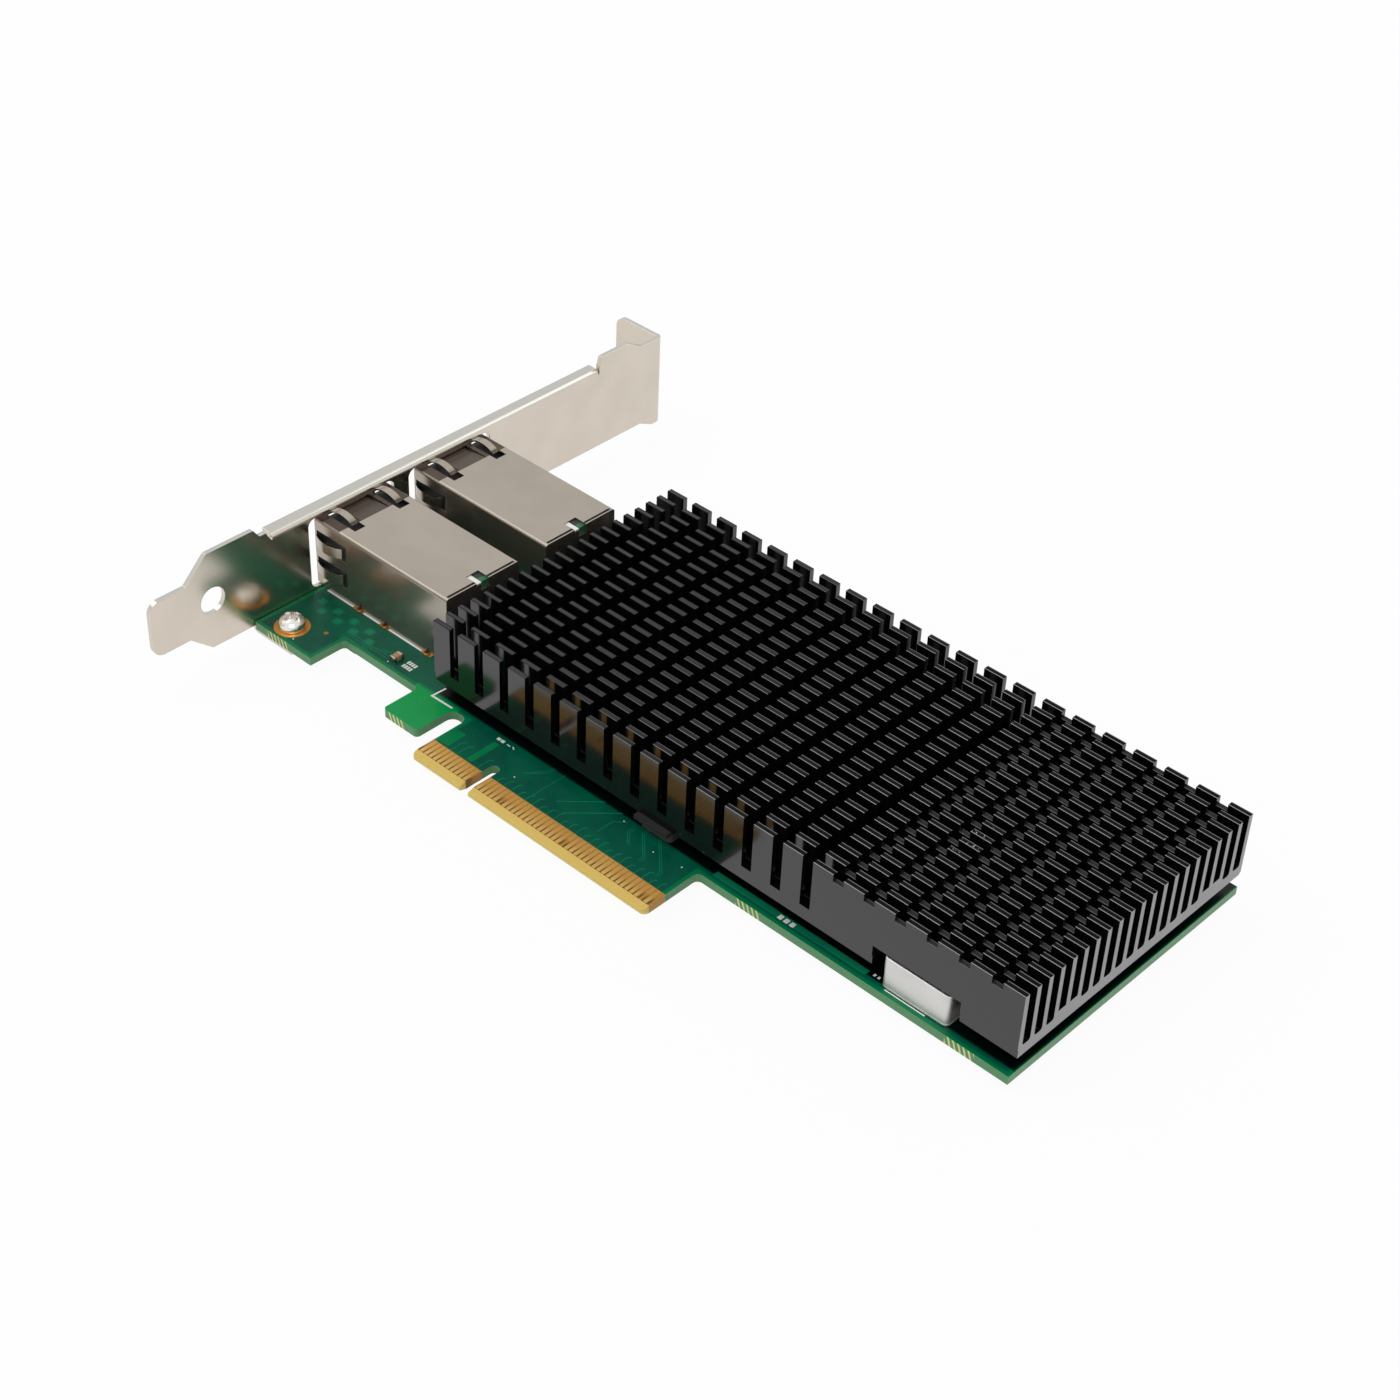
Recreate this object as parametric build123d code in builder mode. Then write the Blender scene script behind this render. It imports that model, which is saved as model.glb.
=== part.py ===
from build123d import *
import os

# Dual port network interface card for an eight lane card slot.
# Millimetres. The origin is on the contact edge at the centre of the key notch, on the board's
# component face. +X runs to the board's tail, +Y away from the contact edge, +Z out of that face.

os.makedirs("parts", exist_ok=True)

# Board outline
board_thickness = 1.57
board_height = 68.9
board_tail = 99.6
board_shoulder = 12.0
foot_edge = 4.45
foot_end = -42.6
hook_edge = 4.3
hook_start = -24.1
hook_end = -15.9
tongue_start = -12.3
tongue_end = 39.5
slot_top = 12.25
slot_corner_radius = 1.5
shoulder_corner_radius = 1.0
board_corner_radius = 0.8
key_width = 1.9
key_height = 7.5
bevel_length = 1.3
bevel_depth = 0.45
hole_clearance = 0.2

# Contact pads
pads_before_key = 11
pads_in_row = 49
pad_pitch = 1.0
pad_to_key = 1.5
pad_width = 0.7
pad_low = 1.4
pad_top = 4.7
pad_thickness = 0.05
short_pad_loss = 1.7
short_pads_component_side = (17, 31, 48)
short_pads_solder_side = (1,)

# Bracket, folded from one sheet
sheet = 0.86
bracket_face = -57.15
bracket_board_gap = 0.25
bend_radius = 1.1
tongue_tip = -16.3
tongue_low = 2.7
tongue_high = 13.5
tongue_root_low = -8.8
tongue_root_high = -8.8
tongue_corner_radius = 2.2
body_start_low = -4.4
body_start_high = -4.3
face_low = -1.0
face_high = 18.0
relief_start = 5.6
relief_slope = 1.3
relief_drop = 1.7
relief_shelf = 1.3
relief_foot = 1.1
relief_far_slope = 0.6
relief_far_gap = 0.2
flange_height = 15.55
flange_start = 9.5
flange_end = 86.8
flange_width = 2.6
body_end_high = 94.7
body_end_low = 98.2
tab_step = 98.4
tab_flare = 101.4
tab_outer = 103.9
tab_depth = 11.43
tab_low = -2.5
tab_high = 15.9
tab_slot_width = 4.42
tab_slot_offset = 6.35
tab_slot_reach = 5.85
tab_corner_radius = 2.0
hang_hole_diameter = 5.0
hang_hole_y = -3.65
hang_hole_z = 8.4
ear_length = 9.2
ear_width = 6.5

# Bracket screws and the ring pads under their heads
bracket_screw_x = -51.5
bracket_screw_ys = (8.0, 63.6)
bracket_screw_diameter = 2.5
bracket_head_diameter = 4.6
bracket_head_height = 2.3
bracket_head_radius = 0.8
ring_diameter = 6.3
thread_clearance = 0.05
screw_tip = 0.6
recess_width = 0.6
recess_depth = 0.9

# Jacks
jack_near_edges = (19.4, 42.1)
jack_width = 16.45
jack_height = 13.65
jack_nose = 0.2
jack_length = 33.3
jack_corner_radius = 0.6
shield_wall = 0.3
shield_clearance = 0.05
opening_low = 0.3
opening_fold_gap = 0.05
opening_near_margin = 2.2
opening_far_margin = 0.7
opening_corner_radius = 1.5
nose_lift = 0.55
finger_rim = 0.7
finger_width = 1.4
finger_length = 5.4
finger_near_gap = 0.9
finger_far_gap = 0.1
finger_foot = 1.9
finger_lift = 0.75
finger_sink = 0.15
top_finger_offsets = (3.15, 13.2)
side_rim = 0.45
side_finger_width = 2.0
side_finger_length = 6.35
side_finger_lift = 0.95
side_finger_foot = 1.2
side_window_above = 0.95
side_window_below = 0.25
side_finger_heights = (3.05, 8.45)
ramp_margin = 4.9
ramp_gap = 0.3
ramp_drop = 0.6
leg_stations = (11.01, 17.51, 28.11)
leg_width = 1.3
leg_reach = 0.9
leg_play = 0.15
leg_pad_margin = 0.35
rear_slot_width = 0.3
rear_slot_length = 4.8
rear_slot_margin = 1.0
rear_notch_offset = 6.8
rear_notch_width = 2.8
rear_notch_depth = 2.7
rear_notch_drop = 1.7
rear_tab_width = 1.0
rear_tab_height = 1.2

# Jack inserts
housing_recess = 0.25
housing_chamfer = 0.25
housing_front_length = 7.45
housing_front_drop = 0.65
cavity_width = 11.8
cavity_low = 4.7
cavity_high = 11.6
cavity_depth = 13.45
latch_widths = (6.4, 3.4)
latch_lows = (3.2, 2.2)
latch_depth = 11.15
wire_count = 8
wire_pitch = 1.02
wire_width = 0.45
wire_thickness = 0.3
wire_front_margin = 2.35
wire_back = 8.1
wire_sag = 3.2
wire_bend_radius = 0.3
light_width = 3.0
light_height = 2.4
light_depth = 6.0
light_low = 1.5
light_offset = 1.15
light_play = 0.05
inner_board_thickness = 1.2
inner_board_margin = 2.0
inner_board_low = 0.6
inner_board_height = 12.7
pin_diameter = 0.6
pin_reach = 1.2
pin_rows = 2
pins_in_row = 5
pin_pitch = 2.54
pin_row_pitch = 5.0
pin_row_start = 4.6

# Heatsink, one extrusion with cross cuts
jack_sink_gap = 3.6
sink_near = 13.3
sink_lift = 2.65
sink_height = 12.05
sink_base = 2.05
fin_count = 21
fin_thickness = 0.95
gap_corner_radius = 0.5
boss_fins = (4, 17)
boss_rise = 1.0
cut_count = 20
cut_width = 2.0
deep_cuts = 14
deep_cut_floor = 2.65
shallow_cut_depth = 1.35
base_step = 0.2
base_step_height = 1.6
base_chamfer = 0.5

# Heatsink fastening
sink_screw_start_inset = 7.8
sink_screw_tail_inset = 7.0
sink_screw_diameter = 3.0
sink_thread_depth = 2.4
sink_screw_engagement = 2.3
sink_head_diameter = 5.5
sink_head_height = 1.3
washer_diameter = 7.0
washer_thickness = 0.4
spacer_diameter = 6.0

# Crystal
crystal_centre = 81.2
crystal_near = 13.45
crystal_length = 11.8
crystal_depth = 4.75
crystal_height = 5.5
crystal_base_thickness = 0.45
crystal_base_margin = 0.35
crystal_corner_radius = 1.6
crystal_edge_radius = 0.45
notch_start = 72.8
notch_end = 89.2
notch_far = 18.7
notch_top = 6.35

# Controller and the parts under the heatsink
controller_x = 36.0
controller_y = 41.0
substrate_size = 25.0
substrate_thickness = 1.1
lid_size = 21.0
lid_thickness = 1.25
inductor_size = 6.4
inductor_height = 1.9
inductor_radius = 0.8
inductor_places = ((28.8, 16.8), (52.0, 20.0), (61.0, 20.0))
power_pad_length = 7.0
power_pad_near = 12.4
power_pad_depth = 8.1
regulator_size = 5.0
regulator_height = 0.9
regulator_places = ((20.5, 18.5), (57.0, 28.0), (66.0, 28.0))
flash_length = 4.9
flash_width = 3.9
flash_height = 1.5
flash_stand = 0.1
flash_lead_reach = 1.0
flash_lead_width = 0.4
flash_lead_thickness = 0.2
flash_place = (10.0, 27.0)
capacitor_length = 2.0
capacitor_width = 1.25
capacitor_height = 1.0
capacitor_ring_gap = 2.6
capacitor_pitch = 5.0
capacitors_per_side = 4
open_capacitor = (-32.4, 14.7)
resistor_length = 1.6
resistor_width = 0.8
resistor_height = 0.45
resistor_columns = (3.5, 16.5)
resistor_rows = (24.0, 26.0, 28.0, 30.0)
back_capacitor_pitch = 4.0
back_capacitor_rows = 4

CORNER = (Align.MIN, Align.MIN, Align.MIN)
UPWARD = (Align.CENTER, Align.CENTER, Align.MIN)
DOWNWARD = (Align.CENTER, Align.CENTER, Align.MAX)

board_start = bracket_face + bracket_board_gap
board_back = -board_thickness
bracket_front = bracket_face - sheet
jack_front = bracket_front - jack_nose
jack_rear = jack_front + jack_length
nose_length = board_start - jack_front
jack_seat = pad_thickness
jack_top = jack_seat + jack_height
housing_front = jack_front + housing_recess
housing_rear = jack_rear - shield_wall - shield_clearance - inner_board_thickness
housing_inset = shield_wall + shield_clearance
housing_top = jack_top - housing_inset
cavity_end = housing_front + cavity_depth
sink_start = jack_rear + jack_sink_gap
sink_length = board_tail - sink_start
sink_screw_xs = (sink_start + sink_screw_start_inset, board_tail - sink_screw_tail_inset)
sink_top = sink_lift + sink_height
sink_width = board_height - sink_near
fin_pitch = (sink_width - fin_thickness) / (fin_count - 1)
gap_floor = sink_lift + sink_base
boss_floor = gap_floor + boss_rise
cut_pitch = (sink_length + cut_width) / (cut_count + 1)
sink_hole_diameter = sink_screw_diameter + 2 * hole_clearance
tongue_pads = range(1, pads_in_row + 1)


def box(x, y, z, length, depth, height, mode=Mode.ADD):
    """A block from its lowest corner."""
    with Locations((x, y, z)):
        Box(length, depth, height, align=CORNER, mode=mode)


def corner(builder, x, y):
    """The vertex of a drawn outline nearest to a spot."""
    return builder.vertices().sort_by_distance(Vertex(x, y, 0))[0]


def pad_centre(number):
    """X of contact pad 1 to 49, counted from the bracket's end."""
    if number <= pads_before_key:
        return -pad_to_key - (pads_before_key - number) * pad_pitch
    return pad_to_key + (number - pads_before_key - 1) * pad_pitch


def fin_start(number):
    """Y of the near face of fin 0 to fin_count - 1."""
    return sink_near + number * fin_pitch


def leg_places(near):
    """Centres of one jack's six board legs."""
    sides = (near + shield_wall / 2, near + jack_width - shield_wall / 2)
    return [(jack_front + station, y) for station in leg_stations for y in sides]


def pin_places(near):
    """Centres of one jack's solder pins."""
    rows = [housing_rear - pin_row_start - row * pin_row_pitch for row in range(pin_rows)]
    first = near + jack_width / 2 - (pins_in_row - 1) * pin_pitch / 2
    return [(x, first + pin * pin_pitch) for x in rows for pin in range(pins_in_row)]


bracket_screw_places = [(bracket_screw_x, y) for y in bracket_screw_ys]
sink_screw_places = [(x, fin_start(fin) + fin_thickness / 2) for x in sink_screw_xs for fin in boss_fins]
all_leg_places = [place for near in jack_near_edges for place in leg_places(near)]
all_pin_places = [place for near in jack_near_edges for place in pin_places(near)]
leg_slot_length = leg_width + 2 * leg_play
leg_slot_width = shield_wall + 2 * leg_play

# Circuit board
with BuildPart() as circuit_board:
    with BuildSketch(Plane.XY) as board_outline:
        with BuildLine():
            Polyline(
                (board_start, foot_edge),
                (foot_end, foot_edge),
                (foot_end, board_shoulder),
                (hook_start, board_shoulder),
                (hook_start, hook_edge),
                (hook_end, hook_edge),
                (hook_end, slot_top),
                (tongue_start, slot_top),
                (tongue_start, 0),
                (tongue_end, 0),
                (tongue_end, board_shoulder),
                (board_tail, board_shoulder),
                (board_tail, board_height),
                (board_start, board_height),
                close=True,
            )
        make_face()
        fillet(corner(board_outline, hook_end, slot_top), slot_corner_radius)
        fillet(corner(board_outline, tongue_start, slot_top), slot_corner_radius)
        fillet(corner(board_outline, tongue_end, board_shoulder), shoulder_corner_radius)
        fillet(corner(board_outline, foot_end, board_shoulder), shoulder_corner_radius)
        fillet(corner(board_outline, hook_start, board_shoulder), shoulder_corner_radius)
        fillet(corner(board_outline, tongue_start, 0), board_corner_radius)
        fillet(corner(board_outline, tongue_end, 0), board_corner_radius)
        fillet(corner(board_outline, hook_start, hook_edge), board_corner_radius)
        fillet(corner(board_outline, hook_end, hook_edge), board_corner_radius)
        with Locations((0, key_height - key_width / 2)):
            Circle(key_width / 2, mode=Mode.SUBTRACT)
            Rectangle(key_width, 2 * key_height, align=(Align.CENTER, Align.MAX), mode=Mode.SUBTRACT)
        with Locations(*bracket_screw_places):
            Circle(bracket_screw_diameter / 2 + hole_clearance, mode=Mode.SUBTRACT)
        with Locations(*sink_screw_places):
            Circle(sink_hole_diameter / 2, mode=Mode.SUBTRACT)
        with Locations(*all_leg_places):
            Rectangle(leg_slot_length, leg_slot_width, mode=Mode.SUBTRACT)
        with Locations(*all_pin_places):
            Circle(pin_diameter / 2 + hole_clearance, mode=Mode.SUBTRACT)
    extrude(amount=-board_thickness)
    # Both faces of the tongue are bevelled at the contact edge.
    with BuildSketch(Plane.YZ.offset(tongue_start - 1)):
        with BuildLine():
            Polyline(
                (-bevel_length, -2 * bevel_depth),
                (2 * bevel_length, bevel_depth),
                (-bevel_length, bevel_depth),
                close=True,
            )
        make_face()
        with BuildLine():
            Polyline(
                (-bevel_length, board_back + 2 * bevel_depth),
                (2 * bevel_length, board_back - bevel_depth),
                (-bevel_length, board_back - bevel_depth),
                close=True,
            )
        make_face()
    extrude(amount=tongue_end - tongue_start + 2, mode=Mode.SUBTRACT)
circuit_board.part.label = "circuit_board"
export_step(circuit_board.part, "parts/circuit_board.step")

# Contact pads on the component side
with BuildPart() as contacts_component_side:
    with BuildSketch(Plane.XY):
        for number in tongue_pads:
            loss = short_pad_loss if number in short_pads_component_side else 0
            with Locations((pad_centre(number), pad_low + loss)):
                Rectangle(pad_width, pad_top - pad_low - loss, align=(Align.CENTER, Align.MIN))
    extrude(amount=pad_thickness)
contacts_component_side.part.label = "contacts_component_side"
export_step(contacts_component_side.part, "parts/contacts_component_side.step")

# Contact pads on the solder side
with BuildPart() as contacts_solder_side:
    with BuildSketch(Plane.XY.offset(board_back)):
        for number in tongue_pads:
            loss = short_pad_loss if number in short_pads_solder_side else 0
            with Locations((pad_centre(number), pad_low + loss)):
                Rectangle(pad_width, pad_top - pad_low - loss, align=(Align.CENTER, Align.MIN))
    extrude(amount=-pad_thickness)
contacts_solder_side.part.label = "contacts_solder_side"
export_step(contacts_solder_side.part, "parts/contacts_solder_side.step")

# Ring pads at the bracket screws and leg pads under the jacks
with BuildPart() as ground_pads:
    with BuildSketch(Plane.XY):
        with Locations(*bracket_screw_places):
            Circle(ring_diameter / 2)
            Circle(bracket_screw_diameter / 2 + hole_clearance, mode=Mode.SUBTRACT)
    extrude(amount=pad_thickness)
    with BuildSketch(Plane.XY):
        with Locations(*all_leg_places):
            Rectangle(leg_slot_length + 2 * leg_pad_margin, leg_slot_width + 2 * leg_pad_margin)
            Rectangle(leg_slot_length, leg_slot_width, mode=Mode.SUBTRACT)
    extrude(amount=pad_thickness)
ground_pads.part.label = "ground_pads"
export_step(ground_pads.part, "parts/ground_pads.step")

# Bracket
sheet_middle = bracket_face - sheet / 2
middle_radius = bend_radius - sheet / 2
fold_start = flange_height - bend_radius
opening_high = fold_start - opening_fold_gap
with BuildPart() as io_bracket:
    with BuildSketch(Plane.YZ.offset(bracket_front)) as face_outline:
        with BuildLine():
            Polyline(
                (tongue_tip, tongue_low),
                (tongue_root_low, tongue_low),
                (body_start_low, face_low),
                (body_end_low, face_low),
                (tab_flare, tab_low),
                (tab_outer - bend_radius, tab_low),
                (tab_outer - bend_radius, tab_high),
                (tab_step, tab_high),
                (body_end_high, face_high),
                (flange_end + relief_far_gap + relief_far_slope, face_high),
                (flange_end + relief_far_gap, face_high - relief_drop),
                (flange_end + relief_far_gap, fold_start),
                (relief_start + relief_slope + relief_shelf + relief_foot, fold_start),
                (relief_start + relief_slope + relief_shelf, face_high - relief_drop),
                (relief_start + relief_slope, face_high - relief_drop),
                (relief_start, face_high),
                (body_start_high, face_high),
                (tongue_root_high, tongue_high),
                (tongue_tip, tongue_high),
                close=True,
            )
        make_face()
        fillet(corner(face_outline, tongue_tip, tongue_low), tongue_corner_radius)
        fillet(corner(face_outline, tongue_tip, tongue_high), tongue_corner_radius)
        with Locations((hang_hole_y, hang_hole_z)):
            Circle(hang_hole_diameter / 2, mode=Mode.SUBTRACT)
        for near in jack_near_edges:
            opening_width = jack_width + opening_near_margin + opening_far_margin
            opening_middle = near - opening_near_margin + opening_width / 2
            with Locations((opening_middle, (opening_low + opening_high) / 2)):
                RectangleRounded(
                    opening_width, opening_high - opening_low, opening_corner_radius, mode=Mode.SUBTRACT
                )
    extrude(amount=sheet)
    # The long edge is folded outward between the two relief notches.
    with BuildSketch(Plane.XZ.offset(-flange_end)):
        with BuildLine():
            FilletPolyline(
                (sheet_middle, opening_high),
                (sheet_middle, flange_height - sheet / 2),
                (bracket_face - flange_width, flange_height - sheet / 2),
                radius=middle_radius,
            )
        trace(line_width=sheet)
    extrude(amount=flange_end - flange_start)
    # The fixing tab is folded outward at the far end.
    with BuildSketch(Plane.XY.offset(tab_low)):
        with BuildLine():
            FilletPolyline(
                (sheet_middle, tab_flare),
                (sheet_middle, tab_outer - sheet / 2),
                (bracket_face - tab_depth, tab_outer - sheet / 2),
                radius=middle_radius,
            )
        trace(line_width=sheet)
    extrude(amount=tab_high - tab_low)
    with BuildSketch(Plane.XZ.offset(-tab_outer - 1)):
        with Locations((bracket_face - tab_slot_offset, tab_low + tab_slot_reach - tab_slot_width / 2)):
            Circle(tab_slot_width / 2)
            Rectangle(tab_slot_width, 2 * tab_slot_reach, align=(Align.CENTER, Align.MAX))
    extrude(amount=sheet + 2, mode=Mode.SUBTRACT)
    tab_edges = io_bracket.edges().filter_by(Axis.Y).group_by(Axis.X)[0]
    fillet(tab_edges, tab_corner_radius)
    # Two ears are folded in under the board and tapped for the screws.
    for y in bracket_screw_ys:
        with BuildSketch(Plane.XZ.offset(-y - ear_width / 2)):
            with BuildLine():
                FilletPolyline(
                    (sheet_middle, face_low + sheet),
                    (sheet_middle, board_back - sheet / 2),
                    (bracket_face + ear_length, board_back - sheet / 2),
                    radius=middle_radius,
                )
            trace(line_width=sheet)
        extrude(amount=ear_width)
    with Locations(*[(x, y, board_back) for x, y in bracket_screw_places]):
        Cylinder(
            bracket_screw_diameter / 2 + thread_clearance, 2 * sheet, align=DOWNWARD, mode=Mode.SUBTRACT
        )
io_bracket.part.label = "io_bracket"
export_step(io_bracket.part, "parts/io_bracket.step")

# Bracket screws
with BuildPart() as bracket_screws:
    head_top = pad_thickness + bracket_head_height
    with Locations(*[(x, y, pad_thickness) for x, y in bracket_screw_places]):
        Cylinder(bracket_head_diameter / 2, bracket_head_height, align=UPWARD)
    fillet(bracket_screws.edges().group_by(Axis.Z)[-1], bracket_head_radius)
    shank_length = pad_thickness + board_thickness + sheet + screw_tip
    with Locations(*[(x, y, pad_thickness) for x, y in bracket_screw_places]):
        Cylinder(bracket_screw_diameter / 2, shank_length, align=DOWNWARD)
    recess_length = bracket_head_diameter * 0.6
    with Locations(*[(x, y, head_top) for x, y in bracket_screw_places]):
        Box(recess_length, recess_width, 2 * recess_depth, mode=Mode.SUBTRACT)
        Box(recess_width, recess_length, 2 * recess_depth, mode=Mode.SUBTRACT)
bracket_screws.part.label = "bracket_screws"
export_step(bracket_screws.part, "parts/bracket_screws.step")

# Jacks
for port, near in enumerate(jack_near_edges, start=1):
    far = near + jack_width
    middle = near + jack_width / 2
    # Shield, folded and sprung
    with BuildPart() as port_shield:
        box(jack_front, near, jack_seat, jack_length, jack_width, jack_height)
        top_edges = port_shield.edges().filter_by(Axis.X).group_by(Axis.Z)[-1]
        fillet(top_edges, jack_corner_radius)
        with BuildSketch(Plane.YZ.offset(jack_front - 1)) as inside:
            inside_width = jack_width - 2 * shield_wall
            with Locations((middle, jack_top - shield_wall)):
                Rectangle(inside_width, jack_height, align=(Align.CENTER, Align.MAX))
            fillet(inside.vertices().group_by(Axis.Y)[-1], jack_corner_radius - shield_wall)
        extrude(amount=jack_length - shield_wall + 1, mode=Mode.SUBTRACT)
        # Two spring fingers on top, each beside an L shaped slot
        for offset in top_finger_offsets:
            window_length = finger_length + finger_foot
            window_width = finger_width + finger_near_gap + finger_far_gap
            x = jack_front + finger_rim
            y = near + offset - finger_near_gap
            box(x, y, jack_top - 1, window_length, window_width, 2, Mode.SUBTRACT)
        # The stretch between them slopes down behind a level lip
        ramp_width = jack_width - 2 * ramp_margin
        x = jack_front + finger_rim
        box(x, near + ramp_margin, jack_top - 1, finger_length, ramp_width, 2, Mode.SUBTRACT)
        sheet_top_middle = jack_top - shield_wall / 2
        with BuildSketch(Plane.XZ.offset(-far + ramp_margin + ramp_gap)):
            with BuildLine():
                Polyline(
                    (jack_front + finger_rim + finger_length + shield_wall, sheet_top_middle),
                    (jack_front + finger_rim + finger_length, sheet_top_middle),
                    (jack_front + finger_rim, sheet_top_middle - ramp_drop),
                )
            trace(line_width=shield_wall)
        extrude(amount=ramp_width - 2 * ramp_gap)
        for offset in top_finger_offsets:
            with BuildSketch(Plane.XZ.offset(-near - offset - finger_width)):
                with BuildLine():
                    ThreePointArc(
                        (jack_front + finger_rim - shield_wall, sheet_top_middle),
                        (jack_front + finger_rim + finger_length * 0.4, sheet_top_middle + finger_lift),
                        (jack_front + finger_rim + finger_length, sheet_top_middle - finger_sink),
                    )
                trace(line_width=shield_wall)
            extrude(amount=finger_width)
        # Two spring fingers in each side wall
        for height in side_finger_heights:
            window_height = side_finger_width + side_window_above + side_window_below
            x = jack_front + side_rim
            z = height - side_window_below
            window_length = side_finger_length + side_finger_foot
            box(x, near - 1, z, window_length, jack_width + 2, window_height, Mode.SUBTRACT)
        for height in side_finger_heights:
            for wall_y, outward in ((near + shield_wall / 2, -1), (far - shield_wall / 2, 1)):
                with BuildSketch(Plane.XY.offset(height)):
                    with BuildLine():
                        ThreePointArc(
                            (jack_front + side_rim / 2, wall_y),
                            (
                                jack_front + side_rim + side_finger_length * 0.4,
                                wall_y + outward * side_finger_lift,
                            ),
                            (jack_front + side_rim + side_finger_length, wall_y),
                        )
                    trace(line_width=shield_wall)
                extrude(amount=side_finger_width)
        # The rear fold: two slots, a notch and a short tab
        for y in (near + rear_slot_margin, far - rear_slot_margin - rear_slot_length):
            x = jack_rear - shield_wall - rear_slot_width
            box(x, y, jack_top - 1, rear_slot_width, rear_slot_length, 2, Mode.SUBTRACT)
        notch_y = near + rear_notch_offset
        box(
            jack_rear - rear_notch_depth,
            notch_y,
            jack_top - rear_notch_drop,
            rear_notch_depth + 1,
            rear_notch_width,
            rear_notch_drop + 1,
            Mode.SUBTRACT,
        )
        box(
            jack_rear - shield_wall,
            notch_y,
            jack_top - rear_notch_drop,
            shield_wall,
            rear_tab_width,
            rear_tab_height,
        )
        # The nose clears the lower edge of the bracket's opening
        nose_cut = nose_lift - jack_seat + 1
        box(jack_front - 1, near - 1, jack_seat - 1, nose_length + 1, jack_width + 2, nose_cut, Mode.SUBTRACT)
        # Board legs
        with Locations(*[(x, y, jack_seat) for x, y in leg_places(near)]):
            Box(leg_width, shield_wall, jack_seat + board_thickness + leg_reach, align=DOWNWARD)
    port_shield.part.label = f"port_{port}_shield"
    export_step(port_shield.part, f"parts/port_{port}_shield.step")
    # Moulded insert
    with BuildPart() as port_housing:
        housing_width = jack_width - 2 * housing_inset
        box(
            housing_front,
            near + housing_inset,
            jack_seat,
            housing_rear - housing_front,
            housing_width,
            housing_top - jack_seat,
        )
        chamfer(port_housing.edges().filter_by(Axis.X).group_by(Axis.Z)[-1], housing_chamfer)
        box(jack_front - 1, near, jack_seat - 1, nose_length + 1, jack_width, nose_cut, Mode.SUBTRACT)
        box(
            housing_front,
            near,
            housing_top - housing_front_drop,
            housing_front_length,
            jack_width,
            1,
            Mode.SUBTRACT,
        )
        cavity_height = cavity_high - cavity_low
        y = middle - cavity_width / 2
        box(housing_front - 1, y, cavity_low, cavity_depth + 1, cavity_width, cavity_height, Mode.SUBTRACT)
        for width, low in zip(latch_widths, latch_lows):
            y = middle - width / 2
            box(housing_front - 1, y, low, latch_depth + 1, width, cavity_low - low + 1, Mode.SUBTRACT)
        for y in (near + light_offset, far - light_offset - light_width):
            box(
                housing_front - 1,
                y - light_play,
                light_low - light_play,
                light_depth + 1,
                light_width + 2 * light_play,
                light_height + 2 * light_play,
                Mode.SUBTRACT,
            )
    port_housing.part.label = f"port_{port}_housing"
    export_step(port_housing.part, f"parts/port_{port}_housing.step")
    # Spring wires
    with BuildPart() as port_contacts:
        wire_y = cavity_high - wire_thickness / 2
        wire_front = housing_front + wire_front_margin
        for wire in range(wire_count):
            y = middle + (wire - (wire_count - 1) / 2) * wire_pitch
            with BuildSketch(Plane.XZ.offset(-y - wire_width / 2)):
                with BuildLine():
                    FilletPolyline(
                        (cavity_end, wire_y),
                        (wire_front, wire_y),
                        (wire_front + wire_back, wire_y - wire_sag),
                        radius=wire_bend_radius,
                    )
                trace(line_width=wire_thickness)
            extrude(amount=wire_width)
    port_contacts.part.label = f"port_{port}_contacts"
    export_step(port_contacts.part, f"parts/port_{port}_contacts.step")
    # Indicator light pipes
    with BuildPart() as port_light_pipes:
        for y in (near + light_offset, far - light_offset - light_width):
            box(housing_front, y, light_low, light_depth, light_width, light_height)
    port_light_pipes.part.label = f"port_{port}_light_pipes"
    export_step(port_light_pipes.part, f"parts/port_{port}_light_pipes.step")
    # Upright board behind the insert
    with BuildPart() as port_inner_board:
        inner_width = jack_width - 2 * inner_board_margin
        y = near + inner_board_margin
        box(housing_rear, y, inner_board_low, inner_board_thickness, inner_width, inner_board_height)
    port_inner_board.part.label = f"port_{port}_inner_board"
    export_step(port_inner_board.part, f"parts/port_{port}_inner_board.step")
    # Solder pins
    with BuildPart() as port_solder_pins:
        with Locations(*[(x, y, jack_seat) for x, y in pin_places(near)]):
            Cylinder(pin_diameter / 2, jack_seat + board_thickness + pin_reach, align=DOWNWARD)
    port_solder_pins.part.label = f"port_{port}_solder_pins"
    export_step(port_solder_pins.part, f"parts/port_{port}_solder_pins.step")

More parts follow.
